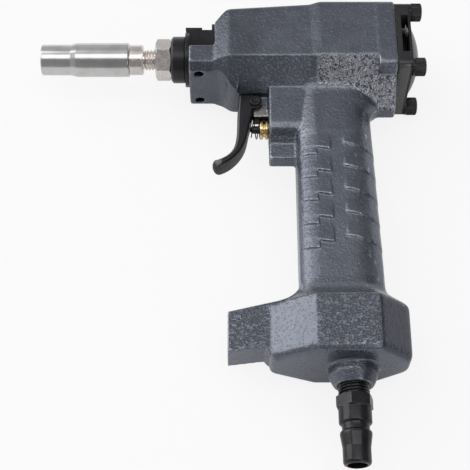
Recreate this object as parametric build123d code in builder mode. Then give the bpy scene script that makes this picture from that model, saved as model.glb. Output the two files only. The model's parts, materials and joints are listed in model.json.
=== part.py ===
from build123d import *
import os
from math import asin, cos, pi, radians, sin, sqrt, tan

# Pneumatic upholstery nailer, lying on its right side, in millimetres.
# X runs along the drive axis from the nozzle's mouth to the rear screws, Y up the tool from the air plug
# to the head, Z out of the left side. The origin is the middle of the nozzle's mouth.

os.makedirs("parts", exist_ok=True)

# Clearances
running_gap = 0.05
seat_gap = 0.02
free_gap = 0.3
edge_break = 0.5
cut_over = 1.0
thread_crest_share = 0.2

# Nozzle
socket_d = 12.3
socket_depth = 8.0
mouth_wall = 1.1
mouth_length = 14.0
mouth_cone_length = 2.7
sleeve_step = 0.75
sleeve_length = 41.7
magnet_length = 4.0
magnet_shoulder = 0.4
spigot_d = 11.0
spigot_length = 11.0
stud_collar_d = 14.2
stud_collar_length = 6.5
stud_thread_d = 10.0
stud_thread_pitch = 1.5
stud_thread_depth = 0.9
neck_length = 6.0
nut_flats = 17.0
nut_length = 7.4
nut_turn_deg = 36.0
nozzle_adjust = 3.0

# Nose block
collar_d = 22.0
collar_length = 6.7
collar_chamfer = 1.0
flange_d = 25.8
flange_thickness = 2.0
block_half_width = 8.0
block_top = 13.0
block_step = 1.3
block_step_length = 5.8
block_floor = -10.5
block_lip_thickness = 1.5
block_lip_rise = 2.0
stud_seat_depth = 15.0
block_screw_d = 3.0
block_screw_head_d = 5.6
block_screw_spread = 5.2
block_screw_bite = 4.0

# Driver, piston and cylinder
driver_d = 5.5
driver_tip_x = 36.5
stroke = 36.0
cylinder_bore = 22.0
cylinder_wall = 1.5
cylinder_flange_length = 3.0
air_gap = 1.1
piston_length = 9.5
piston_ring_d = 1.9
bumper_gap = 0.6
bumper_chamfer = 2.0
driver_grip = 7.0
sleeve_ring_d = 0.84
pilot_length = 10.0

# Head valve
chamber_step = 1.4
chamber_length = 20.0
valve_floor = 2.5
valve_tube_length = 10.0
valve_tube_wall = 2.0
valve_lift = 3.0
valve_hole_d = 8.0
valve_ring_d = 1.1
spigot_tube_d = 14.0
spigot_tube_bore = 9.0
head_spring_wire = 1.2
head_spring_turns = 4

# Casting: nose and head
nose_length = 11.9
nose_half_width = 17.0
nose_shelf_top = -3.4
nose_ridge = -12.5
nose_bottom = -16.1
head_length = 83.8
head_half_width_front = 21.0
head_half_width = 21.9
head_roof_front = 2.7
head_roof_rise = 3.1
head_roof_wall = 4.3
head_top_r = 3.3
head_top_steps = 3
head_step_from_front = 44.3
head_step_length = 4.5
head_ridge = -12.0
head_bottom = -23.4
head_keel = -30.5
head_keel_front = -26.0
head_facet_deg = 45.0
fork_bevel = 3.3
head_front_wall = 7.8
flare_length = 8.1
flare_start = 1.4
brow_length = 5.8
brow_drop = 6.2
chin_length = 11.0
flange_half_width = 22.3
flange_bottom = -19.0
flange_length = 8.7
flange_corner_r = 4.5

# Casting: magazine holes in the nose's underside, tapped M5
magazine_hole_d = 4.2
magazine_hole_depth = 9.0
magazine_hole_spacing = 21.2
magazine_hole_setback = 4.7

# Casting: trigger block, lug and handle
trigger_block_setback = 25.0
trigger_block_half_width = 10.6
trigger_block_drop = 18.0
trigger_block_taper = 3.0
valve_rib_top_drop = 25.7
valve_rib_drop = 33.5
valve_rib_half_width = 3.9
handle_setback = 37.2
handle_depth_top = 34.0
handle_depth_end = 37.2
handle_half_width_top = 11.5
handle_half_width = 13.3
handle_taper_length = 20.0
handle_front_flat = 12.0
handle_corner = 10.5
handle_flat_length = 21.5
handle_wall = 4.8
side_neck_r = 8.0
back_neck_r = 6.0
back_neck_turn_deg = 76.0
base_neck_r = 10.0
neck_steps = 4
pad_relief = 0.8
pad_relief_back = 0.15
pad_height = 7.9
pad_pitch = 11.6
pad_slope_deg = 10.0
pad_count = 5
pad_front_drop = 33.0
pad_front_start = 1.4
pad_front_reach = 14.5
pad_rear_drop = 32.4
pad_rear_start = 20.8
rib_drop = 36.4
rib_start = 0.4
rib_reach = 8.4

# Casting: base, arm and inlet boss
base_top = -131.0
base_height = 24.9
base_half_width = 20.6
base_setback = 24.0
base_length = 45.4
base_flare_length = 19.1
base_rear_chamfer = 13.7
base_edge_r = 3.2
base_corner_r = 5.0
shoulder_height = 7.0
shoulder_setback = 6.5
shoulder_slope_deg = 50.0
arm_half_width = 8.6
arm_reach = 30.8
arm_front_drop = 3.1
arm_middle_rise = 1.1
arm_root_rise = 9.5
arm_clearance = 3.7
arm_bottom_rise = 2.0
arm_root_r = 2.0
boss_d = 21.0
boss_straight = 4.1
boss_tip_d = 16.6
boss_height = 8.5
plug_setback = 21.4

# Trigger and its valve
pivot_from_block = 6.2
pivot_drop = 3.7
pin_d = 4.0
pin_head_d = 5.2
pin_head_thickness = 1.0
pin_dimple_d = 2.8
pin_dimple_depth = 0.4
clip_d = 7.0
clip_thickness = 0.8
clip_groove_d = 3.0
clip_mouth = 2.4
lug_half_width = 3.5
lug_nose_r = 3.0
lug_drop = 11.2
lug_front_from_pivot = 1.1
fork_half_width = 5.4
fork_r = 3.3
lever_half_width = 5.4
# The lever's outline, from the pivot: front edge downwards, tip, back edge upwards
lever_front = [(-7.6, 1.7), (-8.3, -11.0), (-8.7, -19.5), (-11.6, -27.3), (-17.4, -30.9)]
lever_tip = (-19.3, -33.1)
lever_back = [(-17.4, -33.9), (-12.4, -31.6), (-7.7, -27.0), (-4.6, -21.0), (-3.1, -14.0), (-1.0, -2.5)]
fork_front = -5.4
lever_edge_r = 1.2
lever_tip_heading = (-0.9, -0.43)
stem_drop = 15.9
stem_d = 3.6
stem_tail = 15.0
stem_ring_d = 0.7
stem_ring_setbacks = (2.5, 8.0)
stem_reach = 2.5
guide_body_d = 7.6
guide_lip = 0.6
guide_head_length = 4.4
guide_body_length = 11.0
guide_ring_d = 0.9
guide_groove = 1.0
guide_front_ring = 1.6
guide_groove_slope = 0.3
guide_groove_width = 0.7
guide_rear_ring = 1.0
guide_neck_slope = 0.2
trigger_spring_wire = 0.5
trigger_spring_turns = 1.25
trigger_spring_first = -0.25
trigger_spring_length = 3.9

# Rear cap, plate and screws
gasket_thickness = 0.5
cap_half_width = 21.4
cap_inset = 0.9
cap_corner_r = 3.5
cap_thickness = 5.3
cap_web = 2.0
cap_hub_d = 26.0
cap_post_height = 8.0
cap_post_width = 10.5
cap_floor_wall = 4.5
plate_thickness = 1.1
plate_dome_d = 35.0
plate_dome_rise = 5.6
screw_d = 5.0
screw_head_d = 8.5
screw_head_length = 5.0
screw_socket_flats = 4.0
screw_socket_depth = 2.6
screw_bite = 7.4
screw_edge_y = 2.9
screw_edge_z = 5.2
washer_d = 8.1
washer_thickness = 1.1

# Air plug
plug_thread_d = 13.15
plug_thread_pitch = 1.34
plug_thread_depth = 0.85
plug_thread_shown = 4.4
plug_thread_bite = 9.0
plug_hex_flats = 14.0
plug_hex_length = 5.3
plug_hex_turn_deg = 12.0
plug_body_d = 13.7
plug_body_length = 6.6
plug_groove_d = 11.4
plug_groove_length = 3.2
plug_nose_d = 13.2
plug_waist_d = 11.6
plug_cone_length = 6.6
plug_land = 1.4
plug_tip_length = 7.2
plug_tip_r = 1.2
plug_bore_d = 8.2

# Nozzle diameters
mouth_d = socket_d + 2 * mouth_wall
sleeve_d = mouth_d + 2 * sleeve_step
magnet_d = socket_d - 2 * magnet_shoulder

# Places along the drive axis
x_neck = sleeve_length + stud_collar_length
x_nut = x_neck + neck_length
x_collar = x_nut + nut_length
x_flange = x_collar + collar_length
x_nose = x_flange + flange_thickness
x_head = x_nose + nose_length
x_rear = x_head + head_length
x_cylinder = x_head + head_front_wall
x_chamber = x_rear - chamber_length
x_cap = x_rear + gasket_thickness
x_plate = x_cap + cap_thickness
x_washer = x_plate + plate_thickness
x_screw_head = x_washer + washer_thickness
x_block = x_head + trigger_block_setback
x_handle = x_head + handle_setback
x_plug = x_handle + plug_setback
x_pivot = x_block - pivot_from_block

# Radii, widths and heights that follow from other sizes
driver_r = driver_d / 2
guide_bore_r = driver_r + running_gap
cylinder_r = cylinder_bore / 2 + cylinder_wall
pilot_r = cylinder_r + seat_gap
cavity_r = cylinder_r + air_gap
chamber_r = cavity_r + chamber_step
head_top_front = cylinder_r + head_roof_front
head_top_step = head_top_front + head_roof_rise
head_top = chamber_r + head_roof_wall
cap_half_height = head_top - cap_inset
screw_y = cap_half_height - screw_edge_y
screw_z = cap_half_width - screw_edge_z
screw_places = [(y, z) for y in (screw_y, -screw_y) for z in (screw_z, -screw_z)]
x_flare = x_head - flare_start
trigger_block_bottom = head_bottom - trigger_block_drop
valve_rib_top = head_bottom - valve_rib_top_drop
valve_rib_bottom = head_bottom - valve_rib_drop
pivot_y = head_bottom - pivot_drop
lug_bottom = head_bottom - lug_drop
stem_y = head_bottom - stem_drop
guide_d = guide_body_d + 2 * guide_lip
base_bottom = base_top - base_height
arm_top_front = base_top - arm_front_drop
arm_top_middle = base_top + arm_middle_rise
arm_top_root = base_top + arm_root_rise
arm_bottom = base_bottom + arm_clearance
arm_bottom_root = arm_bottom + arm_bottom_rise
boss_bottom = base_bottom - boss_height
step_x = x_head + head_step_from_front


def head_section(top, half_width, ridge, keel):
    """Corners (y, z) of the head's cross section, with sloping lower facets down to a narrow keel."""
    turns = [radians(90 * i / head_top_steps) for i in range(head_top_steps + 1)]
    left = [
        *[(top - head_top_r * (1 - cos(a)), half_width - head_top_r * (1 - sin(a))) for a in turns],
        (ridge, half_width),
        (keel, half_width - (ridge - keel) * tan(radians(head_facet_deg))),
    ]
    return left + [(y, -z) for y, z in reversed(left)]


def neck_growth(rise, radius, turn_deg):
    """How far a hollow round has swung out at a rise from its start, up to a turn."""
    rise = min(max(rise, 0), radius * sin(radians(turn_deg)))
    return radius - sqrt(radius ** 2 - rise ** 2)


def neck_levels(start, radius, turn_deg, direction):
    """Heights at equal turns of a hollow round, from its start."""
    turns = [turn_deg * i / neck_steps for i in range(neck_steps + 1)]
    return [start + direction * radius * sin(radians(turn)) for turn in turns]


def thread_profile(start, length, major_r, depth, pitch):
    """Outline points (distance, radius) of a row of thread crests that starts and ends at the root."""
    crests = int(length / pitch)
    flank = pitch * (1 - thread_crest_share) / 2
    points = []
    for i in range(crests):
        foot = start + i * pitch
        points.append((foot, major_r - depth))
        points.append((foot + flank, major_r))
        points.append((foot + pitch - flank, major_r))
    points.append((start + crests * pitch, major_r - depth))
    return points


def ring_groove(middle, outer_r, ring_d):
    """Corners (x, r) of the groove that an O-ring of section ring_d sits in."""
    half = ring_d / 2 + running_gap
    floor = outer_r - ring_d
    rim = outer_r + cut_over
    return [(middle - half, floor), (middle + half, floor), (middle + half, rim), (middle - half, rim)]


def coil_point(x_start, x_end, radius, turns, first, y_axis, share):
    """Point and unit tangent of a coil about a line along X, at a share of its length.

    The first turn's share is how far round from the left side the coil starts.
    """
    angle = 2 * pi * (first + turns * share)
    point = Vector(x_start + (x_end - x_start) * share, y_axis + radius * sin(angle), radius * cos(angle))
    speed = radius * 2 * pi * turns
    tangent = Vector(x_end - x_start, speed * cos(angle), -speed * sin(angle)).normalized()
    return point, tangent


def coil_arcs(x_start, x_end, radius, turns, first, y_axis):
    """Two tangent arcs for each quarter turn of a coil: (start, tangent, joint, tangent there, end)."""
    quarters = round(turns * 4)
    arcs = []
    for i in range(quarters):
        begin, along = coil_point(x_start, x_end, radius, turns, first, y_axis, i / quarters)
        end, away = coil_point(x_start, x_end, radius, turns, first, y_axis, (i + 1) / quarters)
        chord = end - begin
        both = along + away
        spread = 2 * (1 - along.dot(away))
        reach = (-chord.dot(both) + sqrt(chord.dot(both) ** 2 + spread * chord.dot(chord))) / spread
        joint = (begin + end + (along - away) * reach) * 0.5
        across = ((end - away * reach) - (begin + along * reach)).normalized()
        arcs.append((begin, along, joint, across, end))
    return arcs


def coil_gap(x_start, x_end, radius, turns, first, y_axis, wire):
    """Least distance between the wire of a coil and itself, more than half a turn on."""
    steps = 240
    places = [i / steps for i in range(steps + 1)]
    points = [coil_point(x_start, x_end, radius, turns, first, y_axis, place)[0] for place in places]
    half_turn = int(steps / turns / 2)
    return min(
        (points[i] - points[j]).length - wire
        for i in range(steps + 1)
        for j in range(i + half_turn, steps + 1)
    )


# Base of the casting, with its flare, rear corners, rounded lower edge and sloping shoulder
x_base = x_head + base_setback
base_side = [
    (x_base, arm_half_width),
    (x_base + base_flare_length, base_half_width),
    (x_base + base_length, base_half_width),
    (x_base + base_length + base_rear_chamfer, base_half_width - base_rear_chamfer),
]
base_outline = base_side + [(x, -z) for x, z in reversed(base_side)]
flare_slope = (base_half_width - arm_half_width) / base_flare_length
shoulder_front = (x_base + shoulder_setback, arm_half_width + flare_slope * shoulder_setback)
shoulder_side = [shoulder_front, *base_side[1:]]
with BuildPart() as base_block:
    with BuildSketch(Plane.XZ.offset(-base_top)):
        Polygon(*base_outline, align=None)
        fillet(vertices().sort_by(Axis.X)[-2:], base_corner_r)
    extrude(amount=base_height)
    fillet(faces().sort_by(Axis.Y)[0].edges(), base_edge_r)
    with BuildSketch(Plane((0, base_top, 0), x_dir=(1, 0, 0), z_dir=(0, 1, 0))):
        Polygon(*shoulder_side, *[(x, -z) for x, z in reversed(shoulder_side)], align=None)
        fillet(vertices().sort_by(Axis.X)[-2:], base_corner_r)
    extrude(amount=shoulder_height, taper=shoulder_slope_deg)

# Handle: a flat front, rounded front corners and a round back that leans a little, with soft necks under the head
# and on the base
lean = (handle_depth_end - handle_depth_top) / (head_ridge - base_top)
side_meets_head = head_ridge - (head_half_width - handle_half_width_top) / tan(radians(head_facet_deg))
side_neck_start = side_meets_head - side_neck_r * tan(radians(head_facet_deg / 2))
back_neck_start = head_keel - back_neck_r * sin(radians(back_neck_turn_deg))
taper_start = side_neck_start - cut_over
taper_end = taper_start - handle_taper_length
shoulder_run = base_half_width - handle_half_width
side_meets_base = base_top + shoulder_run / tan(radians(shoulder_slope_deg))
base_neck_start = side_meets_base + base_neck_r * tan(radians(shoulder_slope_deg / 2))
handle_levels = [
    head_ridge,
    *neck_levels(side_neck_start, side_neck_r, head_facet_deg, 1),
    *neck_levels(back_neck_start, back_neck_r, back_neck_turn_deg, 1),
    taper_end,
    *neck_levels(base_neck_start, base_neck_r, shoulder_slope_deg, -1),
    base_top,
]
handle_levels.sort(reverse=True)


def handle_section(level, relief=0):
    """Cross section of the handle at a height, its sides and back grown by a share of the pads' relief."""
    taper = min(max((taper_start - level) / handle_taper_length, 0), 1)
    base_growth = neck_growth(base_neck_start - level, base_neck_r, shoulder_slope_deg)
    half_width = handle_half_width_top + (handle_half_width - handle_half_width_top) * taper
    half_width += neck_growth(level - side_neck_start, side_neck_r, head_facet_deg)
    half_width += base_growth + relief * pad_relief
    depth = handle_depth_top + lean * (head_ridge - level) + base_growth + relief * pad_relief_back
    depth += neck_growth(level - back_neck_start, back_neck_r, back_neck_turn_deg)
    flat = handle_front_flat / 2
    front_x = x_handle + handle_corner
    back_x = x_handle + handle_flat_length
    back_reach = depth - handle_flat_length
    with BuildSketch(Plane.XZ.offset(-level)) as section:
        with BuildLine():
            Line((back_x, half_width), (front_x, half_width))
            EllipticalCenterArc((front_x, flat), handle_corner, half_width - flat, 90, arc_size=90)
            Line((x_handle, flat), (x_handle, -flat))
            EllipticalCenterArc((front_x, -flat), handle_corner, half_width - flat, 180, arc_size=90)
            Line((front_x, -half_width), (back_x, -half_width))
            EllipticalCenterArc((back_x, 0), back_reach, half_width, -90, arc_size=180)
        make_face()
    return section.sketch


handle_sections = [handle_section(level) for level in handle_levels]
with BuildPart() as handle_grip:
    loft(handle_sections, ruled=True)

# Grip pads like shingles, in two rows, and finger ribs on the front corners. Each rises from the handle to its
# foot, and the feet slope down to the rear.
grip_pads = []
for drop, pad_start, pad_end in (
    (pad_front_drop, pad_front_start, pad_front_reach),
    (pad_rear_drop, pad_rear_start, handle_depth_end + cut_over),
    (rib_drop, rib_start, rib_reach),
):
    foot_fall = tan(radians(pad_slope_deg)) * (pad_end - pad_start) / 2
    for i in range(pad_count):
        foot = head_bottom - drop - i * pad_pitch
        rises = (pad_pitch, -2 * foot_fall)
        pad_sections = [handle_section(foot + rise, 1 - rise / pad_height) for rise in rises]
        with BuildPart() as pad:
            loft(pad_sections, ruled=True)
            with BuildSketch(Plane.XY):
                Polygon(
                    (x_handle + pad_start, foot + foot_fall),
                    (x_handle + pad_end, foot - foot_fall),
                    (x_handle + pad_end, foot + pad_pitch),
                    (x_handle + pad_start, foot + pad_pitch),
                    align=None,
                )
            extrude(amount=2 * handle_half_width, both=True, mode=Mode.INTERSECT)
        grip_pads.append(pad.part)

# Body casting: head, nose shelf, trigger block, lug, handle, base, arm and inlet boss in one piece
corner_slope = (head_half_width_front - nose_half_width) / flare_length
front_half_width = nose_half_width + corner_slope * flare_start
front_ridge = nose_ridge + (head_ridge - nose_ridge) * flare_start / flare_length
x_corner = x_flare + flare_length
corner_top = head_top_front + head_roof_rise * (x_corner - x_head) / head_step_from_front
head_stations = [
    (x_head, head_top_front, front_half_width, front_ridge, head_keel_front),
    (x_corner, corner_top, head_half_width_front, head_ridge, head_keel),
    (step_x, head_top_step, head_half_width_front, head_ridge, head_keel),
    (step_x + head_step_length, head_top, head_half_width, head_ridge, head_keel),
    (x_rear, head_top, head_half_width, head_ridge, head_keel),
]
valve_bore_r = guide_body_d / 2 + seat_gap
with BuildPart() as body_casting:
    for x, *section in head_stations:
        with BuildSketch(Plane.YZ.offset(x)):
            Polygon(*head_section(*section), align=None)
    loft(ruled=True)
    # Slanted brow, chin, and the bevelled edges over the trigger's fork
    with BuildSketch(Plane.XY):
        Polygon(
            (x_head - cut_over, head_top_front - brow_drop),
            (x_head, head_top_front - brow_drop),
            (x_head + 2 * brow_length, head_top_front + brow_drop),
            (x_head - cut_over, head_top_front + brow_drop),
            align=None,
        )
    extrude(amount=head_half_width, both=True, mode=Mode.SUBTRACT)
    with BuildSketch(Plane.XY):
        with BuildLine():
            chin_start = (x_head, nose_bottom)
            chin_end = (x_head + chin_length, head_bottom)
            Spline(chin_start, chin_end, tangents=((1, 0), (1, 0)))
            Polyline(
                chin_end,
                (x_block, head_bottom),
                (x_block, 2 * head_keel),
                (x_head, 2 * head_keel),
                chin_start,
            )
        make_face()
    extrude(amount=head_half_width, both=True, mode=Mode.SUBTRACT)
    facet_foot = head_half_width_front - (head_ridge - head_bottom) * tan(radians(head_facet_deg))
    bevel_top = head_bottom + fork_bevel * cos(radians(head_facet_deg))
    bevel_out = facet_foot + fork_bevel * sin(radians(head_facet_deg))
    with BuildSketch(Plane.YZ.offset(chin_end[0])):
        for side in (1, -1):
            Polygon(
                (bevel_top, side * bevel_out),
                (head_bottom, side * (facet_foot - fork_bevel)),
                (head_bottom - cut_over, side * (facet_foot - fork_bevel)),
                (head_bottom - cut_over, side * bevel_out),
                align=None,
            )
    extrude(amount=x_block - chin_end[0], mode=Mode.SUBTRACT)
    # Nose shelf
    nose_facet = nose_ridge - nose_bottom
    with BuildSketch(Plane.YZ.offset(x_nose)):
        Polygon(
            (nose_shelf_top, nose_half_width),
            (nose_ridge, nose_half_width),
            (nose_bottom, nose_half_width - nose_facet),
            (nose_bottom, nose_facet - nose_half_width),
            (nose_ridge, -nose_half_width),
            (nose_shelf_top, -nose_half_width),
            align=None,
        )
    extrude(amount=nose_length + flare_length - flare_start)
    # Rear flange
    with BuildSketch(Plane.YZ.offset(x_rear - flange_length)):
        with Locations(((head_top + flange_bottom) / 2, 0)):
            RectangleRounded(head_top - flange_bottom, 2 * flange_half_width, flange_corner_r)
    extrude(amount=flange_length)
    # Trigger block with the valve's rib below it
    with BuildSketch(Plane.YZ.offset(x_block)):
        taper_width = trigger_block_half_width - trigger_block_taper
        block_side = [
            (head_ridge, trigger_block_half_width),
            (trigger_block_bottom, trigger_block_half_width),
            (trigger_block_bottom - trigger_block_taper, taper_width),
            (valve_rib_top, valve_rib_half_width),
            (valve_rib_bottom, valve_rib_half_width),
        ]
        Polygon(*block_side, *[(y, -z) for y, z in reversed(block_side)], align=None)
    extrude(amount=x_handle - x_block + handle_corner / 2)
    # Lug that the trigger's fork straddles
    with BuildSketch(Plane.XY):
        Polygon(
            (x_pivot - lug_front_from_pivot, lug_bottom),
            (x_block + cut_over, lug_bottom),
            (x_block + cut_over, head_ridge),
            (x_pivot - lug_front_from_pivot, head_ridge),
            align=None,
        )
        with Locations((x_pivot, pivot_y)):
            Circle(lug_nose_r)
    extrude(amount=lug_half_width, both=True)
    for grown in (handle_grip.part, *grip_pads, base_block.part):
        add(grown)
    # Arm
    x_arm = x_handle - arm_reach
    with BuildSketch(Plane.XY):
        with BuildLine():
            Line((x_arm, arm_top_front), (x_base, arm_top_middle))
            Spline((x_base, arm_top_middle), (x_handle, arm_top_root), tangents=((1, 0.2), (0.3, 1)))
            Polyline(
                (x_handle, arm_top_root),
                (x_handle + handle_corner, arm_top_root),
                (x_handle + handle_corner, arm_bottom_root - arm_root_r),
                (x_base, arm_bottom_root - arm_root_r),
            )
            arm_corner = (x_base, arm_bottom_root - arm_root_r)
            RadiusArc(arm_corner, (x_base - arm_root_r, arm_bottom_root), arm_root_r)
            Polyline((x_base - arm_root_r, arm_bottom_root), (x_arm, arm_bottom), (x_arm, arm_top_front))
        make_face()
    extrude(amount=arm_half_width, both=True)
    # Inlet boss
    with BuildSketch(Plane.XY):
        Polygon(
            (x_plug, base_top),
            (x_plug + boss_d / 2, base_top),
            (x_plug + boss_d / 2, base_bottom - boss_straight),
            (x_plug + boss_tip_d / 2, boss_bottom),
            (x_plug, boss_bottom),
            align=None,
        )
    revolve(axis=Axis((x_plug, 0, 0), (0, 1, 0)))
    # Slot in the nose for the nose block
    with BuildSketch(Plane.YZ.offset(x_nose)):
        with Locations(((block_floor + head_top) / 2, 0)):
            Rectangle(head_top - block_floor, 2 * (block_half_width + seat_gap))
    extrude(amount=nose_length, mode=Mode.SUBTRACT)
    # Barrel: driver bore, pilot, air space round the cylinder and valve chamber
    with BuildSketch(Plane.XY):
        Polygon(
            (x_nose, 0),
            (x_nose, driver_r + free_gap),
            (x_cylinder, driver_r + free_gap),
            (x_cylinder, pilot_r),
            (x_cylinder + pilot_length, pilot_r),
            (x_cylinder + pilot_length, cavity_r),
            (x_chamber, cavity_r),
            (x_chamber, chamber_r),
            (x_rear, chamber_r),
            (x_rear, 0),
            align=None,
        )
    revolve(axis=Axis.X, mode=Mode.SUBTRACT)
    # Air space in the handle, and the inlet
    with BuildSketch(Plane.XZ):
        with Locations((x_handle + handle_depth_top / 2, 0)):
            RectangleRounded(
                handle_depth_top - 2 * handle_wall, 2 * (handle_half_width - handle_wall), handle_wall
            )
    extrude(amount=-base_bottom - handle_wall, mode=Mode.SUBTRACT)
    inlet_r = plug_thread_d / 2 + seat_gap
    with BuildSketch(Plane.XZ.offset(-base_bottom - handle_wall)):
        with Locations((x_plug, 0)):
            Circle(inlet_r)
    extrude(amount=boss_height + handle_wall, mode=Mode.SUBTRACT)
    # Valve bore, through to the air space
    with BuildSketch(Plane.YZ.offset(x_block)):
        with Locations((stem_y, 0)):
            Circle(valve_bore_r)
    extrude(amount=x_handle - x_block + handle_wall + cut_over, mode=Mode.SUBTRACT)
    # Pivot hole in the lug
    with BuildSketch(Plane.XY):
        with Locations((x_pivot, pivot_y)):
            Circle(pin_d / 2 + seat_gap)
    extrude(amount=lug_half_width, both=True, mode=Mode.SUBTRACT)
    # Screw holes: four at the rear, two under the nose block, two for a magazine
    with BuildSketch(Plane.YZ.offset(x_rear)):
        with Locations(*screw_places):
            Circle(screw_d / 2 + seat_gap)
    extrude(amount=-screw_bite - cut_over, mode=Mode.SUBTRACT)
    x_block_screw = x_head - (nose_length - block_step_length) / 2
    with BuildSketch(Plane.XZ.offset(-block_floor)):
        with Locations((x_block_screw, block_screw_spread), (x_block_screw, -block_screw_spread)):
            Circle(block_screw_d / 2 + seat_gap)
    extrude(amount=block_screw_bite, mode=Mode.SUBTRACT)
    with BuildSketch(Plane.XZ.offset(-nose_bottom)):
        for side in (1, -1):
            with Locations((x_nose + magazine_hole_setback, side * magazine_hole_spacing / 2)):
                Circle(magazine_hole_d / 2)
    extrude(amount=-magazine_hole_depth, mode=Mode.SUBTRACT)

# Nose block with its collar, flange and rear lip
with BuildPart() as nose_block:
    with BuildSketch(Plane.XY):
        Polygon(
            (x_collar, 0),
            (x_collar, collar_d / 2 - collar_chamfer),
            (x_collar + collar_chamfer, collar_d / 2),
            (x_flange - collar_chamfer / 2, collar_d / 2),
            (x_flange, collar_d / 2 - collar_chamfer / 2),
            (x_flange, flange_d / 2),
            (x_nose, flange_d / 2),
            (x_nose, 0),
            align=None,
        )
    revolve(axis=Axis.X)
    with BuildSketch(Plane.XY):
        Polygon(
            (x_nose, block_floor),
            (x_head, block_floor),
            (x_head, block_top - block_step),
            (x_nose + block_step_length, block_top - block_step),
            (x_nose + block_step_length, block_top),
            (x_flange, block_top),
            (x_flange, block_top - collar_chamfer),
            (x_nose, 0),
            align=None,
        )
    extrude(amount=block_half_width, both=True)
    with BuildSketch(Plane.YZ.offset(x_head - block_lip_thickness)):
        with Locations(((block_top + block_lip_rise) / 2, 0)):
            Rectangle(block_top + block_lip_rise, 2 * block_half_width)
    extrude(amount=block_lip_thickness)
    with BuildSketch(Plane.XY):
        Polygon(
            (x_collar, 0),
            (x_collar, stud_thread_d / 2 + running_gap),
            (x_collar + stud_seat_depth, stud_thread_d / 2 + running_gap),
            (x_collar + stud_seat_depth, guide_bore_r),
            (x_head, guide_bore_r),
            (x_head, 0),
            align=None,
        )
    revolve(axis=Axis.X, mode=Mode.SUBTRACT)
    with Locations(
        Location((x_block_screw, block_top - block_step, block_screw_spread), (-90, 0, 0)),
        Location((x_block_screw, block_top - block_step, -block_screw_spread), (-90, 0, 0)),
    ):
        CounterSinkHole(
            block_screw_d / 2 + seat_gap,
            block_screw_head_d / 2 + seat_gap,
            block_top - block_step - block_floor,
        )

# Countersunk screws that hold the nose block, a group of two
screw_top = block_top - block_step
with BuildPart() as nose_block_screws:
    for side in (1, -1):
        head_drop = (block_screw_head_d - block_screw_d) / 2
        tip = block_floor - block_screw_bite + seat_gap
        with BuildSketch(Plane.XY.offset(side * block_screw_spread)):
            Polygon(
                (x_block_screw, screw_top),
                (x_block_screw + block_screw_head_d / 2, screw_top),
                (x_block_screw + block_screw_d / 2, screw_top - head_drop),
                (x_block_screw + block_screw_d / 2, tip),
                (x_block_screw, tip),
                align=None,
            )
        revolve(axis=Axis((x_block_screw, 0, side * block_screw_spread), (0, 1, 0)))
    with BuildSketch(Plane.XZ.offset(-screw_top)):
        with Locations((x_block_screw, block_screw_spread), (x_block_screw, -block_screw_spread)):
            RegularPolygon(block_screw_d / 3, 6, major_radius=False)
    extrude(amount=head_drop, mode=Mode.SUBTRACT)

# Nozzle: threaded stud with its collar and spigot
stud_bore_r = driver_r + free_gap
x_spigot = sleeve_length - spigot_length
stud_end = x_collar + stud_seat_depth - nozzle_adjust - free_gap
with BuildPart() as nozzle_stud:
    crest_r = stud_thread_d / 2
    thread_start = x_neck + edge_break
    crests = thread_profile(
        thread_start, stud_end - thread_start, crest_r, stud_thread_depth, stud_thread_pitch
    )
    with BuildSketch(Plane.XY):
        Polygon(
            (x_spigot, stud_bore_r),
            (x_spigot, spigot_d / 2),
            (sleeve_length, spigot_d / 2),
            (sleeve_length, stud_collar_d / 2),
            (x_neck - edge_break, stud_collar_d / 2),
            (x_neck, stud_collar_d / 2 - edge_break),
            (x_neck, crest_r - stud_thread_depth),
            *crests,
            (crests[-1][0], stud_bore_r),
            align=None,
        )
    revolve(axis=Axis.X)

# Nozzle: turned sleeve with the socket for the nail's head
x_magnet_end = socket_depth + magnet_length
with BuildPart() as nozzle_sleeve:
    with BuildSketch(Plane.XY):
        Polygon(
            (0, socket_d / 2),
            (0, mouth_d / 2 - edge_break),
            (edge_break, mouth_d / 2),
            (mouth_length, mouth_d / 2),
            (mouth_length + mouth_cone_length, sleeve_d / 2),
            (sleeve_length - edge_break, sleeve_d / 2),
            (sleeve_length, sleeve_d / 2 - edge_break),
            (sleeve_length, spigot_d / 2 + seat_gap),
            (x_spigot, spigot_d / 2 + seat_gap),
            (x_spigot, stud_bore_r),
            (x_magnet_end, stud_bore_r),
            (x_magnet_end, magnet_d / 2 + seat_gap),
            (socket_depth, magnet_d / 2 + seat_gap),
            (socket_depth, socket_d / 2),
            align=None,
        )
    revolve(axis=Axis.X)

# Nozzle: ring magnet at the bottom of the socket
with BuildPart() as nail_magnet:
    with BuildSketch(Plane.YZ.offset(socket_depth)):
        Circle(magnet_d / 2)
        Circle(stud_bore_r, mode=Mode.SUBTRACT)
    extrude(amount=magnet_length)

# Jam nut, with its corners turned off at both ends
with BuildPart() as jam_nut:
    nut_corner_r = nut_flats / sqrt(3)
    nut_bevel = (nut_corner_r - nut_flats / 2) / sqrt(3)
    with BuildSketch(Plane.YZ.offset(x_nut)):
        RegularPolygon(nut_flats / 2, 6, major_radius=False, rotation=nut_turn_deg)
        Circle(stud_thread_d / 2 + running_gap, mode=Mode.SUBTRACT)
    extrude(amount=nut_length)
    with BuildSketch(Plane.XY):
        Polygon(
            (x_nut, 0),
            (x_nut, nut_flats / 2),
            (x_nut + nut_bevel, nut_corner_r),
            (x_collar - nut_bevel, nut_corner_r),
            (x_collar, nut_flats / 2),
            (x_collar, 0),
            align=None,
        )
    revolve(axis=Axis.X, mode=Mode.INTERSECT)

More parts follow.
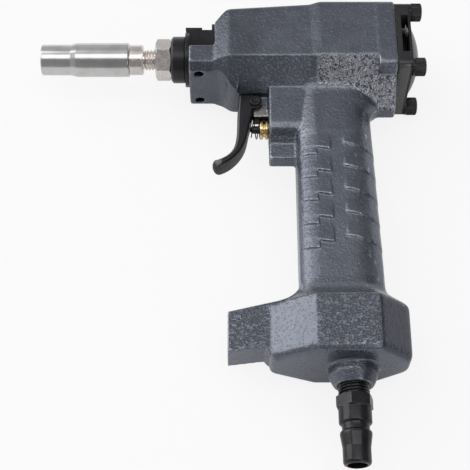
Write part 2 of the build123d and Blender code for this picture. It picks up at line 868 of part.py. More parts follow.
# Cylinder sleeve with its rear flange and two O-ring grooves
ring_front = x_cylinder + pilot_length / 3
ring_rear = x_chamber + cylinder_flange_length / 2
flange_r = chamber_r - seat_gap
with BuildPart() as cylinder_sleeve:
    with BuildSketch(Plane.XY):
        Polygon(
            (x_cylinder, cylinder_bore / 2),
            (x_cylinder, cylinder_r),
            (x_chamber, cylinder_r),
            (x_chamber, flange_r),
            (x_chamber + cylinder_flange_length, flange_r),
            (x_chamber + cylinder_flange_length, cylinder_bore / 2),
            align=None,
        )
        Polygon(*ring_groove(ring_front, cylinder_r, sleeve_ring_d), align=None, mode=Mode.SUBTRACT)
        Polygon(*ring_groove(ring_rear, flange_r, sleeve_ring_d), align=None, mode=Mode.SUBTRACT)
    revolve(axis=Axis.X)

with BuildPart() as cylinder_o_rings:
    with BuildSketch(Plane.XY):
        with Locations(
            (ring_front, cylinder_r - sleeve_ring_d / 2), (ring_rear, flange_r - sleeve_ring_d / 2)
        ):
            Circle(sleeve_ring_d / 2 - seat_gap)
    revolve(axis=Axis.X)

# Piston, its O-ring and the driver rod
piston_r = cylinder_bore / 2 - running_gap
piston_rear = x_chamber + cylinder_flange_length - 2 * free_gap
piston_front = piston_rear - piston_length
piston_ring_x = piston_front + piston_length / 2
with BuildPart() as piston:
    with BuildSketch(Plane.XY):
        Polygon(
            (piston_front, driver_r + seat_gap),
            (piston_front, piston_r - 2 * edge_break),
            (piston_front + 2 * edge_break, piston_r),
            (piston_rear, piston_r),
            (piston_rear, 0),
            (piston_front + driver_grip, 0),
            (piston_front + driver_grip, driver_r + seat_gap),
            align=None,
        )
        Polygon(*ring_groove(piston_ring_x, piston_r, piston_ring_d), align=None, mode=Mode.SUBTRACT)
    revolve(axis=Axis.X)

with BuildPart() as piston_o_ring:
    with BuildSketch(Plane.XY):
        with Locations((piston_ring_x, piston_r - piston_ring_d / 2)):
            Circle(piston_ring_d / 2 - seat_gap)
    revolve(axis=Axis.X)

with BuildPart() as driver_rod:
    with BuildSketch(Plane.XY):
        Polygon(
            (driver_tip_x, 0),
            (driver_tip_x, driver_r - edge_break),
            (driver_tip_x + edge_break, driver_r),
            (piston_front + driver_grip, driver_r),
            (piston_front + driver_grip, 0),
            align=None,
        )
    revolve(axis=Axis.X)

# Rubber bumper that stops the piston
bumper_end = piston_front - stroke - bumper_gap
with BuildPart() as driver_bumper:
    bumper_r = cylinder_bore / 2 - free_gap
    bumper_bore_r = driver_r + 2 * free_gap
    with BuildSketch(Plane.XY):
        Polygon(
            (x_cylinder, bumper_bore_r),
            (x_cylinder, bumper_r),
            (bumper_end - bumper_chamfer, bumper_r),
            (bumper_end, bumper_r - bumper_chamfer),
            (bumper_end, bumper_bore_r),
            align=None,
        )
    revolve(axis=Axis.X)

# Head valve that slides on the cap's tube, with its O-ring and spring
valve_front = x_chamber + cylinder_flange_length + running_gap
valve_back = valve_front + valve_floor
valve_r = chamber_r - free_gap
valve_tube_r = spigot_tube_d / 2 + running_gap
tube_start = valve_back + valve_lift + free_gap
with BuildPart() as head_valve:
    with BuildSketch(Plane.XY):
        Polygon(
            (valve_front, valve_hole_d / 2),
            (valve_front, valve_r),
            (valve_back, valve_r),
            (valve_back, valve_tube_r + valve_tube_wall),
            (valve_back + valve_tube_length, valve_tube_r + valve_tube_wall),
            (valve_back + valve_tube_length, valve_tube_r),
            (valve_back, valve_tube_r),
            (valve_back, valve_hole_d / 2),
            align=None,
        )
        valve_ring_x = (valve_front + valve_back) / 2
        Polygon(*ring_groove(valve_ring_x, valve_r, valve_ring_d), align=None, mode=Mode.SUBTRACT)
    revolve(axis=Axis.X)

with BuildPart() as head_valve_o_ring:
    with BuildSketch(Plane.XY):
        with Locations((valve_ring_x, valve_r - valve_ring_d / 2)):
            Circle(valve_ring_d / 2 - seat_gap)
    revolve(axis=Axis.X)

head_spring_r = valve_tube_r + valve_tube_wall + free_gap + head_spring_wire / 2
head_spring_start = valve_back + head_spring_wire / 2 + seat_gap
head_spring_end = x_cap - head_spring_wire / 2 - seat_gap
head_coil = (head_spring_start, head_spring_end, head_spring_r, head_spring_turns, 0, 0)
with BuildPart() as head_valve_spring:
    with BuildLine():
        for begin, along, joint, across, end in coil_arcs(*head_coil):
            TangentArc(begin, joint, tangent=along)
            TangentArc(joint, end, tangent=across)
    start, heading = coil_point(*head_coil, 0)
    with BuildSketch(Plane(start, z_dir=heading)):
        Circle(head_spring_wire / 2)
    sweep()
print("head valve spring, least gap", round(coil_gap(*head_coil, head_spring_wire), 3))

# Gasket between casting and cap
with BuildPart() as cap_gasket:
    with BuildSketch(Plane.YZ.offset(x_rear)):
        RectangleRounded(2 * cap_half_height, 2 * cap_half_width, cap_corner_r)
        Circle(chamber_r, mode=Mode.SUBTRACT)
        with Locations(*screw_places):
            Circle(screw_d / 2 + free_gap, mode=Mode.SUBTRACT)
    extrude(amount=gasket_thickness)

# Rear cap: web, corner posts, floor wall, hub and the tube that guides the head valve
with BuildPart() as rear_cap:
    with BuildSketch(Plane.YZ.offset(x_cap)):
        RectangleRounded(2 * cap_half_height, 2 * cap_half_width, cap_corner_r)
    extrude(amount=cap_web)
    with BuildSketch(Plane.YZ.offset(x_cap + cap_web)):
        RectangleRounded(2 * cap_half_height, 2 * cap_half_width, cap_corner_r)
        gap_y = 2 * (cap_half_height - cap_post_height)
        gap_z = 2 * (cap_half_width - cap_post_width)
        Rectangle(gap_y, 2 * cap_half_width, mode=Mode.SUBTRACT)
        Rectangle(2 * cap_half_height, gap_z, mode=Mode.SUBTRACT)
        with Locations((cap_floor_wall / 2 - cap_half_height, 0)):
            Rectangle(cap_floor_wall, gap_z + cut_over)
        Circle(cap_hub_d / 2)
    extrude(amount=cap_thickness - cap_web)
    with BuildSketch(Plane.YZ.offset(tube_start)):
        Circle(spigot_tube_d / 2)
    extrude(amount=x_cap - tube_start)
    with BuildSketch(Plane.YZ.offset(tube_start)):
        Circle(spigot_tube_bore / 2)
    extrude(amount=x_plate - tube_start, mode=Mode.SUBTRACT)
    # Vents up and down from the tube to the gaps between the posts
    with BuildSketch(Plane.XZ):
        with Locations((x_cap + cap_web + (cap_thickness - cap_web) / 2, 0)):
            Rectangle(cap_thickness - cap_web, spigot_tube_bore / 2)
    extrude(amount=cap_hub_d / 2, both=True, mode=Mode.SUBTRACT)
    with BuildSketch(Plane.YZ.offset(x_cap)):
        with Locations(*screw_places):
            Circle(screw_d / 2 + free_gap)
    extrude(amount=cap_thickness, mode=Mode.SUBTRACT)

# Exhaust plate: pressed sheet with a domed middle
rim_r = plate_dome_d / 2
dome_r = (rim_r ** 2 + plate_dome_rise ** 2) / (2 * plate_dome_rise)
dome_x = x_washer + plate_dome_rise - dome_r
inside_r = dome_r - plate_thickness
hollow_r = sqrt(inside_r ** 2 - (x_plate - dome_x) ** 2)
half_outer = asin(rim_r / dome_r) / 2
half_inner = asin(hollow_r / inside_r) / 2
with BuildPart() as exhaust_plate:
    with BuildSketch(Plane.YZ.offset(x_plate)):
        RectangleRounded(2 * cap_half_height, 2 * cap_half_width, cap_corner_r)
        with Locations(*screw_places):
            Circle(screw_d / 2 + free_gap, mode=Mode.SUBTRACT)
    extrude(amount=plate_thickness)
    with BuildSketch(Plane.XY):
        with BuildLine():
            crown = (dome_x + dome_r, 0)
            on_dome = (dome_x + dome_r * cos(half_outer), dome_r * sin(half_outer))
            ThreePointArc(crown, on_dome, (x_washer, rim_r))
            Polyline((x_washer, rim_r), (x_plate, rim_r), (x_plate, 0), crown)
        make_face()
    revolve(axis=Axis.X)
    with BuildSketch(Plane.XY):
        with BuildLine():
            crown = (dome_x + inside_r, 0)
            on_dome = (dome_x + inside_r * cos(half_inner), inside_r * sin(half_inner))
            ThreePointArc(crown, on_dome, (x_plate, hollow_r))
            Polyline((x_plate, hollow_r), (x_plate, 0), crown)
        make_face()
    revolve(axis=Axis.X, mode=Mode.SUBTRACT)

# Lock washers and socket head screws, groups of four
with BuildPart() as cap_lock_washers:
    with BuildSketch(Plane.YZ.offset(x_washer)):
        with Locations(*screw_places):
            Circle(washer_d / 2)
            Circle(screw_d / 2 + free_gap / 2, mode=Mode.SUBTRACT)
    extrude(amount=washer_thickness)

with BuildPart() as cap_screws:
    with BuildSketch(Plane.YZ.offset(x_rear - screw_bite)):
        with Locations(*screw_places):
            Circle(screw_d / 2)
    extrude(amount=x_screw_head - x_rear + screw_bite)
    with BuildSketch(Plane.YZ.offset(x_screw_head)):
        with Locations(*screw_places):
            Circle(screw_head_d / 2)
    extrude(amount=screw_head_length)
    chamfer(faces().sort_by(Axis.X)[-4:].edges(), edge_break)
    with BuildSketch(Plane.YZ.offset(x_screw_head + screw_head_length)):
        with Locations(*screw_places):
            RegularPolygon(screw_socket_flats / 2, 6, major_radius=False)
    extrude(amount=-screw_socket_depth, mode=Mode.SUBTRACT)

# Trigger: curled lever with a fork over the lug
with BuildPart() as trigger:
    lever_top = pivot_y + fork_r
    front = [(x_pivot + dx, pivot_y + dy) for dx, dy in lever_front]
    back = [(x_pivot + dx, pivot_y + dy) for dx, dy in lever_back]
    tip = (x_pivot + lever_tip[0], pivot_y + lever_tip[1])
    with BuildSketch(Plane.XY.offset(-lever_half_width)):
        with BuildLine():
            Spline(*front, tangents=((-0.1, -1), (-1, -0.35)))
            ThreePointArc(front[-1], tip, back[0])
            Spline(*back, tangents=((1, 0.3), (0.12, 1)))
            Polyline(back[-1], (back[-1][0], lever_top), (front[0][0] + edge_break, lever_top), front[0])
        make_face()
    extrude(amount=2 * lever_half_width)
    long_edges = [edge for edge in edges().filter_by(Plane.XY) if edge.length > 4 * fork_r]
    fillet(long_edges, lever_edge_r)
    # Round the lever's tip as seen from the finger's side
    heading = Vector(*lever_tip_heading, 0).normalized()
    tip_middle = Vector(*tip, 0) - heading * lever_half_width
    with BuildSketch(Plane(tip_middle, x_dir=heading, z_dir=heading.cross(Vector(0, 0, 1)))):
        with Locations((lever_half_width, 0)):
            Rectangle(2 * lever_half_width, 4 * lever_half_width)
        Circle(lever_half_width, mode=Mode.SUBTRACT)
    extrude(amount=2 * lever_half_width, both=True, mode=Mode.SUBTRACT)
    with BuildSketch(Plane.XY):
        with Locations((x_pivot, pivot_y)):
            Circle(fork_r)
        Polygon(
            (x_pivot + fork_front, lever_top - edge_break),
            (x_pivot, lever_top),
            (x_pivot, pivot_y - fork_r),
            (x_pivot + fork_front, pivot_y - fork_r - 2 * edge_break),
            align=None,
        )
    extrude(amount=fork_half_width, both=True)
    with BuildSketch(Plane.XY):
        slot_front = x_pivot - lug_nose_r - 2 * free_gap
        slot_foot = lug_bottom - 2 * free_gap
        Polygon(
            (slot_front, lever_top + cut_over),
            (x_pivot + 2 * fork_r, lever_top + cut_over),
            (x_pivot + 2 * fork_r, slot_foot),
            (slot_front, slot_foot),
            align=None,
        )
    extrude(amount=lug_half_width + free_gap, both=True, mode=Mode.SUBTRACT)
    with BuildSketch(Plane.XY):
        with Locations((x_pivot, pivot_y)):
            Circle(pin_d / 2 + running_gap)
    extrude(amount=fork_half_width, both=True, mode=Mode.SUBTRACT)

# Pivot pin with a head on the left, and its clip on the right
pin_end = fork_half_width + free_gap / 2
with BuildPart() as trigger_pin:
    with BuildSketch(Plane.XY.offset(-pin_end - 2 * clip_thickness)):
        with Locations((x_pivot, pivot_y)):
            Circle(pin_d / 2)
    extrude(amount=2 * pin_end + 2 * clip_thickness)
    with BuildSketch(Plane.XY.offset(pin_end)):
        with Locations((x_pivot, pivot_y)):
            Circle(pin_head_d / 2)
    extrude(amount=pin_head_thickness)
    chamfer(faces().sort_by(Axis.Z)[-1].edges(), edge_break / 2)
    with BuildSketch(Plane.XY.offset(pin_end + pin_head_thickness)):
        with Locations((x_pivot, pivot_y)):
            Circle(pin_dimple_d / 2)
    extrude(amount=-pin_dimple_depth, mode=Mode.SUBTRACT)
    with BuildSketch(Plane.XY.offset(-pin_end - clip_thickness)):
        with Locations((x_pivot, pivot_y)):
            Circle(pin_d)
            Circle(clip_groove_d / 2, mode=Mode.SUBTRACT)
    extrude(amount=clip_thickness, mode=Mode.SUBTRACT)

with BuildPart() as trigger_pin_clip:
    with BuildSketch(Plane.XY.offset(-pin_end - clip_thickness + seat_gap)):
        with Locations((x_pivot, pivot_y)):
            Circle(clip_d / 2)
            Circle(clip_groove_d / 2 + seat_gap, mode=Mode.SUBTRACT)
        with Locations((x_pivot, pivot_y - clip_d / 2)):
            Rectangle(clip_mouth, clip_d, mode=Mode.SUBTRACT)
    extrude(amount=clip_thickness - 2 * seat_gap)

# Brass valve guide with two rings outside the block, and its O-ring
x_guide = x_block - guide_head_length
x_guide_end = x_block + guide_body_length
guide_ring_x = x_block + guide_body_length / 2
with BuildPart() as valve_guide:
    head_r = guide_d / 2
    body_r = guide_body_d / 2
    stem_bore_r = stem_d / 2 + running_gap
    axis_y = stem_y
    groove_start = x_guide + guide_front_ring
    groove_end = groove_start + 2 * guide_groove_slope + guide_groove_width
    ring_end = groove_end + guide_rear_ring
    groove_r = axis_y + head_r - guide_groove
    with BuildSketch(Plane.XY):
        Polygon(
            (x_guide, axis_y + stem_bore_r),
            (x_guide, axis_y + head_r - edge_break),
            (x_guide + edge_break, axis_y + head_r),
            (groove_start, axis_y + head_r),
            (groove_start + guide_groove_slope, groove_r),
            (groove_end - guide_groove_slope, groove_r),
            (groove_end, axis_y + head_r),
            (ring_end, axis_y + head_r),
            (ring_end + guide_neck_slope, axis_y + head_r - edge_break),
            (x_block, axis_y + head_r - edge_break),
            (x_block, axis_y + body_r),
            (x_guide_end, axis_y + body_r),
            (x_guide_end, axis_y + stem_bore_r),
            align=None,
        )
        groove = [(x, axis_y + r) for x, r in ring_groove(guide_ring_x, body_r, guide_ring_d)]
        Polygon(*groove, align=None, mode=Mode.SUBTRACT)
    revolve(axis=Axis((0, stem_y, 0), (1, 0, 0)))

with BuildPart() as valve_guide_o_ring:
    with BuildSketch(Plane.XY):
        with Locations((guide_ring_x, stem_y + guide_body_d / 2 - guide_ring_d / 2)):
            Circle(guide_ring_d / 2 - seat_gap)
    revolve(axis=Axis((0, stem_y, 0), (1, 0, 0)))

# Valve stem with a domed tip behind the lever, and its O-rings
stem_r = stem_d / 2
stem_tip = x_pivot - stem_reach
stem_end = x_block + stem_tail
stem_ring_places = [x_block + place for place in stem_ring_setbacks]
with BuildPart() as valve_stem:
    with BuildSketch(Plane.XY):
        with BuildLine():
            RadiusArc((stem_tip, stem_y), (stem_tip + stem_r, stem_y + stem_r), stem_r)
            Polyline(
                (stem_tip + stem_r, stem_y + stem_r),
                (stem_end, stem_y + stem_r),
                (stem_end, stem_y),
                (stem_tip, stem_y),
            )
        make_face()
        for place in stem_ring_places:
            groove = [(x, stem_y + r) for x, r in ring_groove(place, stem_r, stem_ring_d)]
            Polygon(*groove, align=None, mode=Mode.SUBTRACT)
    revolve(axis=Axis((0, stem_y, 0), (1, 0, 0)))

with BuildPart() as valve_stem_o_rings:
    with BuildSketch(Plane.XY):
        with Locations(*[(place, stem_y + stem_r - stem_ring_d / 2) for place in stem_ring_places]):
            Circle(stem_ring_d / 2 - seat_gap)
    revolve(axis=Axis((0, stem_y, 0), (1, 0, 0)))

# Coil spring between the lever and the guide
trigger_spring_r = (guide_d - trigger_spring_wire) / 2
trigger_spring_end = x_guide - trigger_spring_wire / 2 - seat_gap
trigger_spring_start = trigger_spring_end - trigger_spring_length + trigger_spring_wire
trigger_coil = (
    trigger_spring_start,
    trigger_spring_end,
    trigger_spring_r,
    trigger_spring_turns,
    trigger_spring_first,
    stem_y,
)
with BuildPart() as valve_spring:
    with BuildLine():
        for begin, along, joint, across, end in coil_arcs(*trigger_coil):
            TangentArc(begin, joint, tangent=along)
            TangentArc(joint, end, tangent=across)
    start, heading = coil_point(*trigger_coil, 0)
    with BuildSketch(Plane(start, z_dir=heading)):
        Circle(trigger_spring_wire / 2)
    sweep()
print("valve spring, least gap", round(coil_gap(*trigger_coil, trigger_spring_wire), 3))

# Air plug: taper thread, hex, body, latch groove and nose, with a bore right through
y_hex = boss_bottom - plug_thread_shown
y_body = y_hex - plug_hex_length
y_groove = y_body - plug_body_length
y_nose = y_groove - plug_groove_length
y_waist = y_nose - plug_cone_length
y_end = y_waist - plug_tip_length
with BuildPart() as air_plug:
    thread_r = plug_thread_d / 2
    thread_top = boss_bottom + plug_thread_bite
    turned = thread_profile(
        -thread_top + free_gap,
        thread_top - y_hex - 2 * free_gap,
        thread_r,
        plug_thread_depth,
        plug_thread_pitch,
    )
    bore_r = plug_bore_d / 2
    tip_corner = plug_tip_r * (1 - cos(pi / 4))
    outline = [
        (bore_r, thread_top),
        (thread_r - plug_thread_depth, thread_top),
        *[(r, -s) for s, r in turned],
        (thread_r - plug_thread_depth, y_hex),
        (plug_body_d / 2, y_hex),
        (plug_body_d / 2, y_groove + edge_break),
        (plug_body_d / 2 - edge_break, y_groove),
        (plug_groove_d / 2, y_groove),
        (plug_groove_d / 2, y_nose + edge_break / 2),
        (plug_nose_d / 2, y_nose - edge_break / 2),
        (plug_nose_d / 2, y_nose - plug_land),
        (plug_waist_d / 2, y_waist),
        (plug_waist_d / 2, y_end + plug_tip_r),
        (plug_waist_d / 2 - tip_corner, y_end + tip_corner),
        (plug_waist_d / 2 - plug_tip_r, y_end),
        (bore_r, y_end),
    ]
    with BuildSketch(Plane.XY):
        Polygon(*[(x_plug + r, y) for r, y in outline], align=None)
    revolve(axis=Axis((x_plug, 0, 0), (0, 1, 0)))
    with BuildSketch(Plane.XZ.offset(-y_hex)):
        with Locations((x_plug, 0)):
            RegularPolygon(plug_hex_flats / 2, 6, major_radius=False, rotation=plug_hex_turn_deg)
            Circle(bore_r, mode=Mode.SUBTRACT)
    extrude(amount=plug_hex_length)

pieces = {
    "body_casting": body_casting,
    "nose_block": nose_block,
    "nose_block_screws": nose_block_screws,
    "jam_nut": jam_nut,
    "nozzle_stud": nozzle_stud,
    "nozzle_sleeve": nozzle_sleeve,
    "nail_magnet": nail_magnet,
    "trigger": trigger,
    "trigger_pin": trigger_pin,
    "trigger_pin_clip": trigger_pin_clip,
    "valve_guide": valve_guide,
    "valve_guide_o_ring": valve_guide_o_ring,
    "valve_stem": valve_stem,
    "valve_stem_o_rings": valve_stem_o_rings,
    "valve_spring": valve_spring,
    "cylinder_sleeve": cylinder_sleeve,
    "cylinder_o_rings": cylinder_o_rings,
    "piston": piston,
    "piston_o_ring": piston_o_ring,
    "driver_rod": driver_rod,
    "driver_bumper": driver_bumper,
    "head_valve": head_valve,
    "head_valve_o_ring": head_valve_o_ring,
    "head_valve_spring": head_valve_spring,
    "cap_gasket": cap_gasket,
    "rear_cap": rear_cap,
    "exhaust_plate": exhaust_plate,
    "cap_lock_washers": cap_lock_washers,
    "cap_screws": cap_screws,
    "air_plug": air_plug,
}
for name, built in pieces.items():
    built.part.label = name
    export_step(built.part, f"parts/{name}.step")
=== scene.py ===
"""Looks of a pneumatic upholstery nailer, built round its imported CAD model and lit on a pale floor."""

import json
import logging
from collections.abc import Sequence
from dataclasses import dataclass, replace
from enum import Enum
from math import copysign, cos, pi, radians, sin, tau

import bmesh
import bpy
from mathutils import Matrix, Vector

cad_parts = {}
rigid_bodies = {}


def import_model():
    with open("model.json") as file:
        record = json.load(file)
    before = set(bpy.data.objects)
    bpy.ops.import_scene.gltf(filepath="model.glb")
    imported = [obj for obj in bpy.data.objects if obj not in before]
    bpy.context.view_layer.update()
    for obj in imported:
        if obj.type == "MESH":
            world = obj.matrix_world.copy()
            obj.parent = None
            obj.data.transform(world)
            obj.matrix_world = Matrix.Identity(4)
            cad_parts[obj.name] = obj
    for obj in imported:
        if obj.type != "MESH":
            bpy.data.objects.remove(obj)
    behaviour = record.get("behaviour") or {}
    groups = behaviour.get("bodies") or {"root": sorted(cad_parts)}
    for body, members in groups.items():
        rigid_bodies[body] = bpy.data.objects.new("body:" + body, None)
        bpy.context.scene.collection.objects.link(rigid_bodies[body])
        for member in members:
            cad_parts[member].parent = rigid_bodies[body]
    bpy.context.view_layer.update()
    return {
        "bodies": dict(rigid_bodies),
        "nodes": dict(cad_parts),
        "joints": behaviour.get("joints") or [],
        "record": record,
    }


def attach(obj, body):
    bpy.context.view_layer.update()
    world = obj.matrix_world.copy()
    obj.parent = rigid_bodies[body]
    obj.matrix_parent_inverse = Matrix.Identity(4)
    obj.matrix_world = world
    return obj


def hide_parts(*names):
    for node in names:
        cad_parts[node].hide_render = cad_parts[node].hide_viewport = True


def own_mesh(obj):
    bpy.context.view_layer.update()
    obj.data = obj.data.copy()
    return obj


LOG = logging.getLogger("nailer")
MM = 0.001

Socket = bpy.types.NodeSocket
Piece = bpy.types.Object
Finish = bpy.types.Material
Mesh = bmesh.types.BMesh
Point = tuple[float, float, float]
Colour = tuple[float, float, float]
Ramp = tuple[float, float]
Outline = list[tuple[float, float]]
Profile = tuple[tuple[float, float], ...]
Value = float | Colour | Vector | Socket

WHITE: Colour = (1.0, 1.0, 1.0)
WHOLE: Ramp = (0.0, 1.0)
CLOUDY: Ramp = (0.3, 0.7)
TURNED_WELD = 1e-7
CAD_WELD = 2e-6
SEAL_EDGE = 0.02
EASE_STEPS = 3


class Blend(Enum):
    """Ways two colours are mixed in a finish."""

    PLAIN = "MIX"
    DARKEN = "MULTIPLY"


class Measure(Enum):
    """What a soft limit goes by: a place or the surface's look, its axis, and whether both ways count."""

    X = ("place", "X", False)
    Y = ("place", "Y", False)
    ASIDE = ("place", "Z", True)
    SLANT = ("place", "Z less Y", True)
    LOOK_X = ("look", "X", False)
    LOOK_Y = ("look", "Y", False)
    LOOK_ASIDE = ("look", "Z", True)

    @property
    def is_place(self) -> bool:
        """Whether it is a place."""
        return self.value[0] == "place"


@dataclass(frozen=True)
class Limit:
    """Soft limit of a part of a piece, which is left out at off and taken in at on. Places are in mm."""

    measure: Measure
    off: float
    on: float


Limits = tuple[Limit, ...]


class Nodes:
    """Node tree, with short calls that add nodes and join them."""

    def __init__(self, tree: bpy.types.NodeTree) -> None:
        """Take the tree that nodes are added to."""
        self.tree = tree

    def put(self, socket: Socket, value: Value) -> None:
        """Join a value to an input, or set the input to it.

        Args:
            socket: The input.
            value: Another node's output, or a plain value.
        """
        if isinstance(value, Socket):
            self.tree.links.new(value, socket)
        elif socket.type == "RGBA":
            socket.default_value = (*value, 1.0)
        else:
            socket.default_value = value

    def add(self, kind: str, inputs: dict[str | int, Value], **settings: object) -> bpy.types.Node:
        """Add a node.

        Args:
            kind: The node's type name.
            inputs: Values or sockets for its inputs, by name or number.
            settings: Other properties of the node.

        Returns:
            The new node.
        """
        node = self.tree.nodes.new(kind)
        for key, value in settings.items():
            setattr(node, key, value)
        for key, value in inputs.items():
            self.put(node.inputs[key], value)
        return node

    def span(self, value: Socket, reach: Ramp, result: Ramp = WHOLE) -> Socket:
        """Smooth step of a value.

        Args:
            value: The value to follow.
            reach: Where the step starts and where it ends.
            result: What it gives up to the start, and from the end on.

        Returns:
            The stepped value.
        """
        inputs = {
            "Value": value,
            "From Min": reach[0],
            "From Max": reach[1],
            "To Min": result[0],
            "To Max": result[1],
        }
        return self.add("ShaderNodeMapRange", inputs, interpolation_type="SMOOTHSTEP").outputs[0]

    def math(self, operation: str, first: Value, second: Value = 0.0) -> Socket:
        """Result of one sum, such as MULTIPLY, on two values."""
        return self.add("ShaderNodeMath", {0: first, 1: second}, operation=operation).outputs[0]

    def chain(self, operation: str, values: Sequence[Socket]) -> Socket:
        """Result of one sum over a row of values.

        Args:
            operation: The sum's name, such as MULTIPLY.
            values: The values.

        Returns:
            The result.
        """
        result = values[0]
        for value in values[1:]:
            result = self.math(operation, result, value)
        return result

    def tint(self, share: Value, first: Value, second: Value, blend: Blend = Blend.PLAIN) -> Socket:
        """Mix of two colours, in which share is how much of the second shows."""
        inputs = {0: share, 6: first, 7: second}
        return self.add("ShaderNodeMix", inputs, data_type="RGBA", blend_type=blend.value).outputs[2]


class Graph(Nodes):
    """Node tree of one material."""

    def __init__(self, name: str) -> None:
        """Start a material with a Principled surface.

        Args:
            name: The material's name.
        """
        self.material = bpy.data.materials.new(name)
        self.material.use_nodes = True
        super().__init__(self.material.node_tree)
        self.tree.nodes.clear()
        self.output = self.add("ShaderNodeOutputMaterial", {})
        self.surface = self.add("ShaderNodeBsdfPrincipled", {})
        self.put(self.output.inputs["Surface"], self.surface.outputs["BSDF"])
        self.place = self.add("ShaderNodeTexCoord", {}).outputs["Object"]
        self.geometry = self.add("ShaderNodeNewGeometry", {})

    def set(self, **inputs: Value) -> None:
        """Set or join inputs of the surface, with underscores for the spaces in their names."""
        for name, value in inputs.items():
            self.put(self.surface.inputs[name.replace("_", " ")], value)

    def noise(
        self,
        grain_mm: float,
        detail: float = 2.0,
        twist: float = 0.0,
        stretch: Point = (1.0, 1.0, 1.0),
    ) -> Socket:
        """Noise whose lumps are about grain_mm apart.

        Args:
            grain_mm: Distance from lump to lump.
            detail: Finer layers on top of the first.
            twist: How far the noise is swirled into itself.
            stretch: Factors on the three coordinates, for streaks.

        Returns:
            The noise's value, about 0.5 on average.
        """
        place = self.place
        if stretch != (1.0, 1.0, 1.0):
            place = self.add("ShaderNodeVectorMath", {0: place, 1: stretch}, operation="MULTIPLY").outputs[0]
        inputs = {"Vector": place, "Scale": 1.0 / (grain_mm * MM), "Detail": detail, "Distortion": twist}
        return self.add("ShaderNodeTexNoise", inputs).outputs[0]

    def relief(self, height: Socket, depth_mm: float, under: Socket | None = None) -> Socket:
        """Bumps on the surface.

        Args:
            height: Value that is the bumps' height.
            depth_mm: Height of a bump of value 1.
            under: Normal of other bumps that these lie on.

        Returns:
            The bumped normal.
        """
        inputs: dict[str | int, Value] = {"Height": height, "Distance": depth_mm * MM, "Strength": 1.0}
        if under is not None:
            inputs["Normal"] = under
        return self.add("ShaderNodeBump", inputs).outputs[0]

    def measure(self, kind: Measure) -> Socket:
        """Value of a measure.

        Args:
            kind: The measure.

        Returns:
            A place in metres, or a part of the surface's direction from -1 to 1.
        """
        if kind is Measure.SLANT:
            return self.math("SUBTRACT", self.measure(Measure.ASIDE), self.measure(Measure.Y))
        _, axis, either_way = kind.value
        source = self.place if kind.is_place else self.geometry.outputs["Normal"]
        part = self.add("ShaderNodeSeparateXYZ", {0: source}).outputs[axis]
        return self.math("ABSOLUTE", part) if either_way else part

    def inside(self, limits: Limits) -> Socket:
        """How far a place on the surface is inside some soft limits.

        Args:
            limits: The limits.

        Returns:
            1 inside all of them, 0 outside.
        """
        shares = []
        for limit in limits:
            unit = MM if limit.measure.is_place else 1.0
            shares.append(self.span(self.measure(limit.measure), (limit.off * unit, limit.on * unit)))
        return self.chain("MULTIPLY", shares)

    def edge(self, reach_mm: float, bend: Ramp = (0.995, 0.86)) -> Socket:
        """Share of wear near sharp edges.

        Args:
            reach_mm: How far from the edge the wear goes.
            bend: How well the surface agrees with its rounded self where wear starts and where it is full.

        Returns:
            1 on an edge, 0 on open faces.
        """
        soft = self.add("ShaderNodeBevel", {"Radius": reach_mm * MM}, samples=6).outputs[0]
        inputs = {0: soft, 1: self.geometry.outputs["Normal"]}
        match = self.add("ShaderNodeVectorMath", inputs, operation="DOT_PRODUCT").outputs["Value"]
        return self.span(match, bend)


